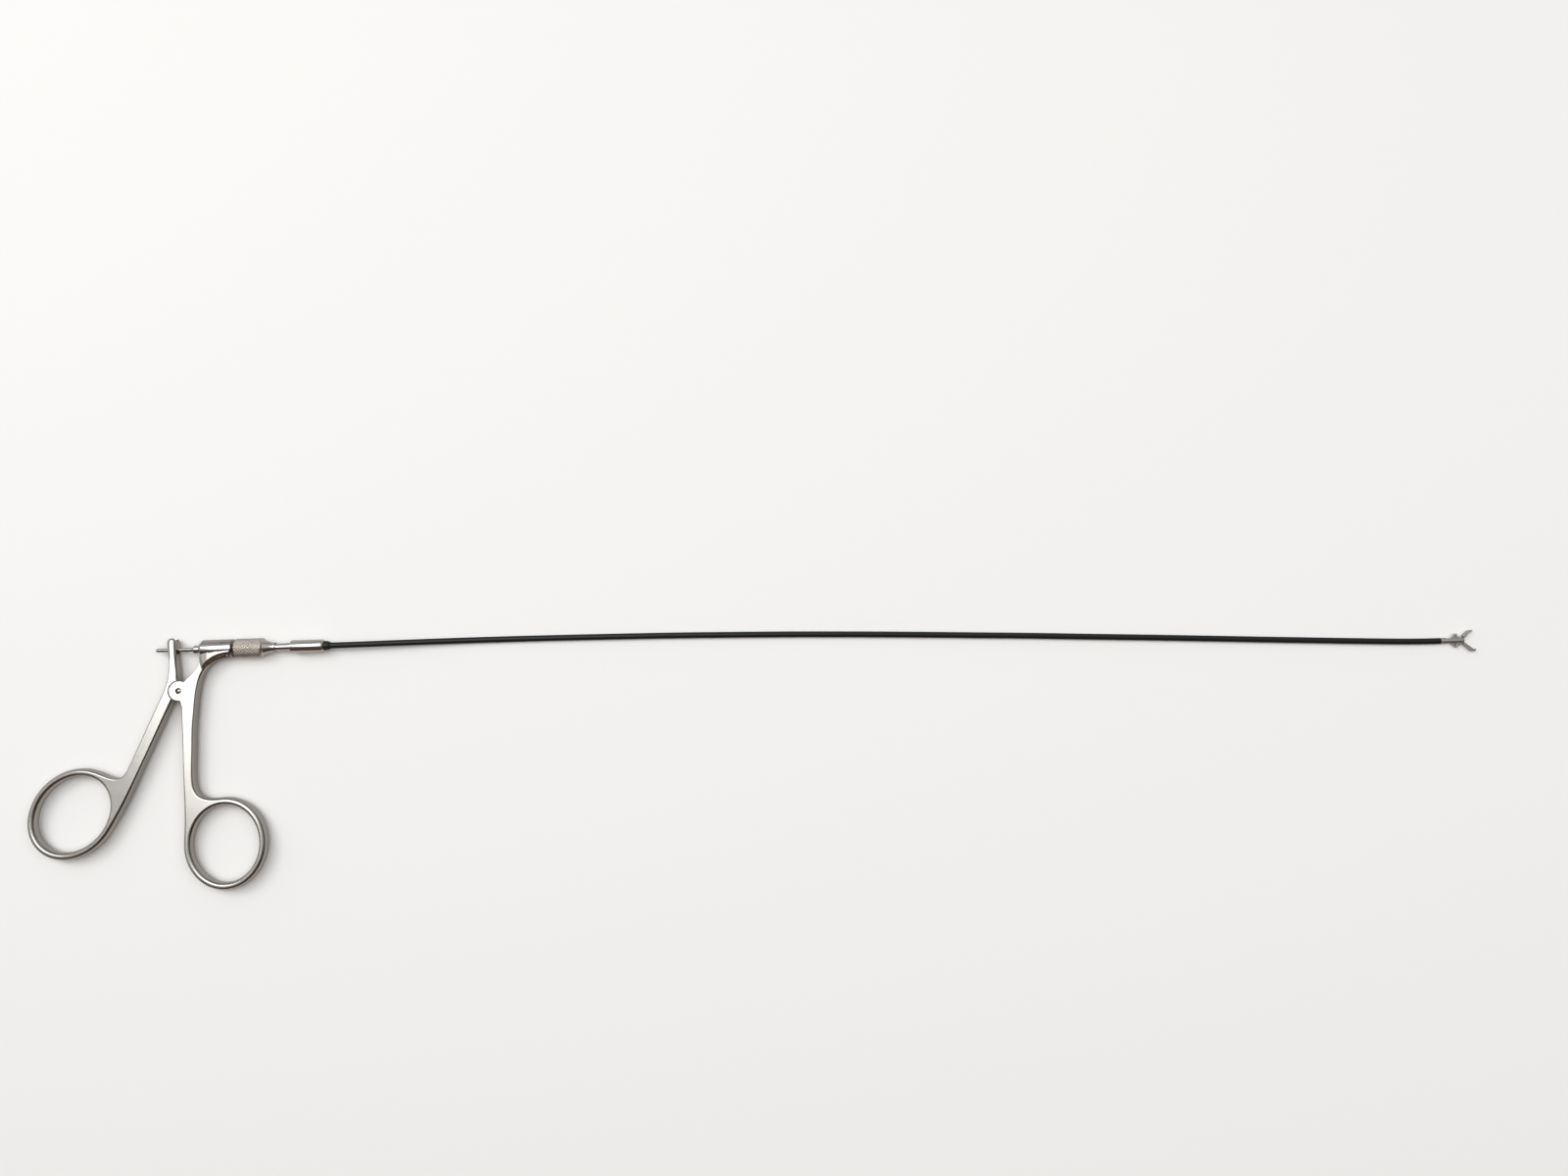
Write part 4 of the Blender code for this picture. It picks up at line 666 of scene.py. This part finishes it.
def knurled_nut(axis):
    """The nut as a grid round its axis: radius = profile - groove depth where the knurl is.

    Two families of helical grooves cross on the band: each is a triangle wave of
    teeth * angle plus or minus x / pitch, and the deeper of the two sets the radius.
    The real knurl is finer: this one is as coarse as it has to be to show.
    """
    radius, chamfer = NUT_RADIUS, 0.45
    band = np.linspace(NUT_REAR + chamfer, NOSE_START - chamfer, int(170 * DETAIL))
    mouth = 2.2
    rear = ((NUT_REAR + 0.4, mouth), (NUT_REAR, mouth), (NUT_REAR, radius - chamfer), (band[0], radius))
    rear = soften(rear, 0.1)
    front = soften(
        (
            (band[-1], radius),
            (NOSE_START, radius - chamfer),
            (NOSE_START, 2.35),
            (NOSE_END - 0.9, 1.45),
            (NOSE_END - 0.9, 1.55),
            (NOSE_END, 1.5),
            (NOSE_END, 1.25),
            (NOSE_END - 0.5, 1.25),
        ),
        0.12,
    )
    profile = np.vstack([rear[:-1], np.column_stack([band, np.full(len(band), radius)]), front[1:]])
    sides, teeth, pitch, depth = int(320 * DETAIL), 20, 1.14, 0.2
    angles = 2 * np.pi * np.arange(sides) / sides
    x = profile[:, :1]
    inside = (x > band[0] + 0.05) & (x < band[-1] - 0.05)
    waves = []
    for way in (-1, 1):
        phase = teeth * angles / (2 * np.pi) + way * x / pitch
        waves.append(np.abs((phase % 1.0) - 0.5) * 2)
    groove = np.clip((np.maximum(*waves) - 0.35) / 0.65, 0, 1)
    radii = profile[:, 1:] - np.where(inside, depth * groove, 0.0)
    points = np.stack([np.repeat(x, sides, 1), radii * np.cos(angles), radii * np.sin(angles)], -1)
    return (points + np.asarray(axis)).reshape(-1, 3), grid_faces(len(profile), sides)


def shaft_line(start_x, end_x, count):
    """The shaft's centre line: a smooth curve through the route, from one X to another."""
    points = np.array([SHAFT_EXIT, ROD_OFFSET, AXIS_Z]) + np.asarray(SHAFT_ROUTE)
    padded = np.vstack([2 * points[0] - points[1], points, 2 * points[-1] - points[-2]])
    rows = []
    for p, q, r, s in zip(padded, padded[1:], padded[2:], padded[3:]):
        t = np.linspace(0, 1, 24, endpoint=False)[:, None]
        square, cube = (2 * p - 5 * q + 4 * r - s) * t**2, (3 * q - p - 3 * r + s) * t**3
        rows.append(0.5 * (2 * q + (r - p) * t + square + cube))
    route = np.vstack([*rows, points[-1:]])
    x = np.linspace(start_x, end_x, count)
    return np.stack([x, *[np.interp(x, route[:, 0], route[:, i]) for i in (1, 2)]], 1)


def make_shaft():
    """The black jacket: circles about the route, square to it, from the ferrule to the clevis."""
    line = shaft_line(SHEATH_REAR, SHAFT_END - 0.1, int(420 * DETAIL))
    sides = 32
    angles = 2 * np.pi * np.arange(sides) / sides
    along = np.gradient(line, axis=0)
    along /= np.linalg.norm(along, axis=1)[:, None]
    across = np.cross([0, 0, 1.0], along)
    across /= np.linalg.norm(across, axis=1)[:, None]
    up = np.cross(along, across)
    ring = across[:, None] * np.cos(angles)[None, :, None] + up[:, None] * np.sin(angles)[None, :, None]
    points = line[:, None] + ring * SHEATH_RADIUS
    inner = line[-1:, None] + ring[-1:] * SHEATH_BORE
    verts = np.concatenate([points, inner]).reshape(-1, 3)
    faces = grid_faces(len(line) + 1, sides)
    return finished("jacket", verts, faces, JACKET, "fixed_half", ["shaft_sheath"]), line


def mirror_y(points, side):
    """Points as they are for side 1, or mirrored across the axis and kept in turning order for -1."""
    points = np.asarray(points, float)
    return points if side > 0 else (points * (1, -1))[::-1]


def spun(verts, place, turn):
    """Points turned about Z by degrees and then moved to a place."""
    c, s = math.cos(math.radians(turn)), math.sin(math.radians(turn))
    return np.asarray(verts) @ np.array([[c, s, 0], [-s, c, 0], [0, 0, 1]]) + np.asarray(place)


def jaw_head(length, depth, hollow, tooth):
    """The working half of a closed jaw: a hollow between a full root and the hooked tip."""
    root, face = 1.0, 0.03
    flat = root + 0.6
    middle = np.array((flat + (length - flat) * 0.5, face + hollow))
    inner = blend((flat, face), (1, 0.25), middle, (1, 0), 12)
    hook = blend(middle, (1, 0), (length - 0.34, face), (0.8, -0.6), 12)
    nose = soften(
        [
            (length - 0.34, face),
            (length - 0.3, face - tooth),
            (length - 0.08, face - tooth),
            (length, face + 0.22),
            (length - 0.1, face + 0.45),
        ],
        0.1,
    )
    back = blend((length - 0.1, face + 0.45), (-0.6, 1), (root + 1.2, depth), (-1, 0), 16, (0.3, 0.45))
    heel = soften([back[-1], (root + 0.2, depth - 0.05), (root, 0.62), (root, face), (flat, face)], 0.15)
    return np.vstack([inner[:-1], hook[:-1], nose, back[1:-1], heel[:-1]])


def jaw_blade():
    """A closed jaw's thin blade: its eye at the pin, the tail behind, the neck to the head."""
    angle = math.radians(TAIL_OPEN - JAW_SWING)
    end = (-TAIL_LENGTH * math.cos(angle), -TAIL_LENGTH * math.sin(angle))
    back = math.degrees(angle) + 180
    neck = np.array([(1.2, 0.13), (1.2, 0.58)])
    tail = arc(end, TAIL_HALF, back - 90, back + 90, 15)
    return np.vstack([tail, arc((0, 0), 0.5, -80, -25, 7), neck, arc((0, 0), 0.5, 75, 120, 7)]), end


def link_bar():
    """A link in plan about its pin at the fork: a round-ended bar with a slotted far eye."""
    far = arc((LINK_LENGTH, 0), LINK_EYE, -110, 110, 21)
    side = blend(far[-1], (-1, 0), (LINK_LENGTH - LINK_SLACK - 0.7, LINK_HALF), (-1, 0), 8)[1:]
    outer = np.vstack([far, side, arc((0, 0), LINK_HALF, 90, 270, 17), side[::-1] * (1, -1)])
    rear = arc((LINK_LENGTH - LINK_SLACK, 0), RIVET_HOLE, 270, 90, 13)
    slot = np.vstack([rear, arc((LINK_LENGTH, 0), RIVET_HOLE, 90, -90, 13)])
    pin_hole = arc((0, 0), LINK_PIN_HOLE, 360, 0, 25)[:-1]
    return plain(outer, 0.04), [plain(slot, 0.02), plain(pin_hole, 0.02)]


def make_clevis(place):
    """The shaft's end fitting with its slot and pin, and in the slot the sliding fork on the wire."""
    body = soften(
        (
            (CLEVIS_REAR, CLEVIS_BORE),
            (CLEVIS_REAR, CLEVIS_THIN),
            (CLEVIS_STEP, CLEVIS_THIN),
            (CLEVIS_STEP, CLEVIS_RADIUS),
            (CLEVIS_FRONT, CLEVIS_RADIUS),
            (CLEVIS_FRONT, 0),
        ),
        0.12,
    )
    profile = np.vstack([body, [(CLEVIS_BORE_END, 0), (CLEVIS_BORE_END, CLEVIS_BORE)]])
    fitting = turned(profile, 48, place=place, closed=True)
    clevis = finished("clevis_fitting", *fitting, JAW_STEEL, "fixed_half", ["clevis"])
    x, y, z = place
    slot = block(
        (x - CLEVIS_SLOT_DEPTH, y - 2, z - CLEVIS_SLOT_HALF), (x + 2, y + 2, z + CLEVIS_SLOT_HALF)
    )
    carve(clevis, [("cut", slot), ("cut", drum(-2, 2, JAW_PIN_HOLE, place, sides=32))])
    pin = turned(peg(JAW_PIN_HALF, JAW_PIN_RADIUS, 0.06), 32, "Z", place)
    finished("jaw_axle", *pin, POLISHED, "fixed_half", ["jaw_pin"])
    fork_at = (x - FORK_BACK, y, z)
    rear, front = (SLIDER_REAR, SLIDER_RADIUS), (SLIDER_FRONT, SLIDER_RADIUS)
    fork = soften(((SLIDER_REAR, 0), rear, front, (SLIDER_FRONT, 0)), 0.08)
    fork = turned(fork, 40, place=fork_at)
    slider = finished("slider", *fork, SATIN, "pull_set", ["wire_fork"])
    gap = block((fork_at[0] - 0.42, y - 1, z - SLIDER_GAP), (fork_at[0] + 1, y + 1, z + SLIDER_GAP))
    behind = SLIDER_REAR - 0.6
    wire_hole = ((behind, 0), (behind, WIRE_BORE), (WIRE_BORE_END, WIRE_BORE), (WIRE_BORE_END, 0))
    pin_hole = drum(-1, 1, LINK_PIN_HOLE, fork_at, sides=24)
    carve(slider, [("cut", gap), ("cut", pin_hole), ("cut", turned(wire_hole, 32, place=fork_at))])
    pin = turned(peg(LINK_PIN_HALF, LINK_PIN_RADIUS, 0.04), 24, "Z", fork_at)
    finished("link_axle", *pin, POLISHED, "pull_set", ["link_pin"])
    return clevis


def make_jaws(place):
    """The two jaws with their rivets, and the two links, as they stand open."""
    # Side, then the head's length, depth, hollow and tooth
    shapes = {"upper": (1, (4.6, 0.95, 0.34, 0.0)), "lower": (-1, (5.2, 0.72, 0.06, 0.42))}
    blade, end = jaw_blade()
    bar, holes = link_bar()
    end_z, head_z, head, neck = 0.44, 0.33, 0.38, 0.16
    lower = [(-end_z, 0), (-end_z, head), (-head_z, head), (-head_z, neck)]
    stud = soften([*lower, *[(-z, radius) for z, radius in lower[::-1]]], 0.08)
    fork_at = (place[0] - FORK_BACK, place[1], place[2])
    for name, (side, shape) in shapes.items():
        low, high = sorted((side * BLADE_NEAR, side * BLADE_FAR))
        head = slab(plain(mirror_y(jaw_head(*shape), side), 0.1), [], -JAW_HALF, JAW_HALF, 3, 1.0)
        tail = slab(plain(mirror_y(blade, side), 0.03), [], low, high, 2, 1.0)
        rivet = turned(stud, 32, "Z", (end[0], side * end[1], 0))
        link = slab(bar, holes, -high, -low, 2, 1.0)
        body, arm = f"{name}_jaw_set", f"{name}_link_arm"
        for (verts, faces), label, mat, rides, node, at, turn in (
            (head, "jaw_forged", JAW_STEEL, body, [f"{name}_jaw"], place, side * JAW_SWING),
            (tail, "jaw_tail", JAW_STEEL, body, [], place, side * JAW_SWING),
            (rivet, "stud", POLISHED, body, [f"{name}_rivet"], place, side * JAW_SWING),
            (link, "link_bar", JAW_STEEL, arm, [f"{name}_link"], fork_at, -side * LINK_OPEN),
        ):
            finished(f"{name}_{label}", spun(verts, at, turn), faces, mat, rides, node)


def dress_hidden():
    """Give the plain inner parts, which stay as they are, the satin steel."""
    for name in ("collet", "shaft_coil", "pull_wire"):
        for slot in bpy.data.objects[name].material_slots:
            slot.material = SATIN


def area_light(name, place, spin, size, power, mirrored=True):
    """A soft light of some size that faces straight down, turned about the vertical by degrees.

    One that isn't mirrored lights the table but doesn't show in the metal.
    """
    data = bpy.data.lights.new(name, "AREA")
    data.shape = "RECTANGLE"
    data.size, data.size_y = size
    data.energy = power
    light = bpy.data.objects.new(name, data)
    bpy.context.scene.collection.objects.link(light)
    light.location = place
    light.rotation_euler = (0, 0, math.radians(spin))
    light.visible_glossy = mirrored


def surroundings():
    """A room seen in the metal: its light follows the direction's Y part through a few steps,
    brown and dim beyond the finger rings, and fades low down at the jaws' end. Past the table's
    edge a plain pale backdrop is seen."""
    world = bpy.data.worlds.new("surroundings")
    world.use_nodes = True
    tree = world.node_tree
    where = add_node(tree, "ShaderNodeTexCoord").outputs["Generated"]
    parts = add_node(tree, "ShaderNodeSeparateXYZ", [("Vector", where)])
    across = add_node(tree, "ShaderNodeMapRange", [("Value", parts.outputs["Y"])])
    across.inputs["From Min"].default_value = -1.0
    ramp = add_node(tree, "ShaderNodeValToRGB", [("Fac", across.outputs["Result"])])
    steps = (
        (0.0, (0.11, 0.064, 0.05)),
        (0.29, (0.07, 0.047, 0.039)),
        (0.46, (0.50, 0.50, 0.50)),
        (0.68, (0.62, 0.63, 0.64)),
        (0.90, (0.42, 0.42, 0.43)),
        (1.0, (0.24, 0.24, 0.25)),
    )
    while len(ramp.color_ramp.elements) < len(steps):
        ramp.color_ramp.elements.new(0.5)
    for element, (place, colour) in zip(ramp.color_ramp.elements, steps):
        element.position = place
        element.color = (*colour, 1.0)
    fade = add_node(
        tree, "ShaderNodeMapRange", [("Value", parts.outputs["X"])], interpolation_type="SMOOTHSTEP"
    )
    for socket, value in (("From Min", 0.45), ("From Max", 0.9), ("To Min", 1.0), ("To Max", 0.2)):
        fade.inputs[socket].default_value = value
    sky = tree.nodes["Background"]
    seen = add_node(tree, "ShaderNodeLightPath").outputs["Is Camera Ray"]
    tone = add_node(
        tree, "ShaderNodeMix", [("Factor", seen), ("A", ramp.outputs["Color"])], data_type="RGBA"
    )
    tone.inputs["B"].default_value = linear("#F4F3F1")
    strength = add_node(tree, "ShaderNodeMix", [("Factor", seen), ("A", fade.outputs["Result"])], B=1.0)
    tree.links.new(tone.outputs["Result"], sky.inputs["Color"])
    tree.links.new(strength.outputs["Result"], sky.inputs["Strength"])
    return world


def make_setting():
    """The pale table, the soft lights, the dim surroundings and the camera above, in metres."""
    half = 1.6
    mesh = bpy.data.meshes.new("table")
    corners = [(-half, -half, 0), (half, -half, 0), (half, half, 0), (-half, half, 0)]
    mesh.from_pydata(corners, [], [(0, 1, 2, 3)])
    mat = bpy.data.materials.new("table_pale")
    mat.use_nodes = True
    shader = mat.node_tree.nodes["Principled BSDF"]
    # Painted shade: the table takes a darker colour only where the metal mirrors it, standing in for the
    # shadow beside the parts
    seen = add_node(mat.node_tree, "ShaderNodeLightPath").outputs["Is Glossy Ray"]
    tone = add_node(mat.node_tree, "ShaderNodeMix", [("Factor", seen)], data_type="RGBA")
    tone.inputs["A"].default_value = linear("#E9E8E6")
    tone.inputs["B"].default_value = linear("#B4B1AE")
    mat.node_tree.links.new(tone.outputs["Result"], shader.inputs["Base Color"])
    shader.inputs["Roughness"].default_value = 0.8
    shader.inputs["Specular IOR Level"].default_value = 0.2
    mesh.materials.append(mat)
    table = bpy.data.objects.new("table", mesh)
    bpy.context.scene.collection.objects.link(table)
    scene = bpy.context.scene
    scene.world = surroundings()
    area_light("panel", (-0.477, 0.363, 1.0), 25, (0.74, 0.72), 4.2)
    area_light("key", (-0.85, 0.6, 0.95), 0, (0.6, 0.6), 4.6, False)
    area_light("fill", (0.75, 0.2, 1.0), 0, (0.7, 0.6), 3.2, False)
    area_light("ceiling", (0.3, 0.0, 1.3), 0, (1.3, 1.1), 6.8, False)
    # The camera stands close to where the photograph was taken from, and tilts as it did
    data = bpy.data.cameras.new("camera")
    data.sensor_width = 36.0
    data.lens = 27.0
    data.clip_start, data.clip_end = 0.01, 20.0
    camera = bpy.data.objects.new("camera", data)
    scene.collection.objects.link(camera)
    camera.location = (0.00901, 0.01336, 0.37606)
    camera.rotation_euler = [math.radians(a) for a in (5.5546, 0.1062, -1.7299)]
    scene.camera = camera
    scene.view_settings.view_transform = "Standard"


make_setting()
make_handle()
make_barrel_line()
jacket, line = make_shaft()
jaws_at = (JAW_PIN_X, JAW_Y, JAW_Z)
clevis = make_clevis(jaws_at)
make_jaws(jaws_at)
dress_hidden()
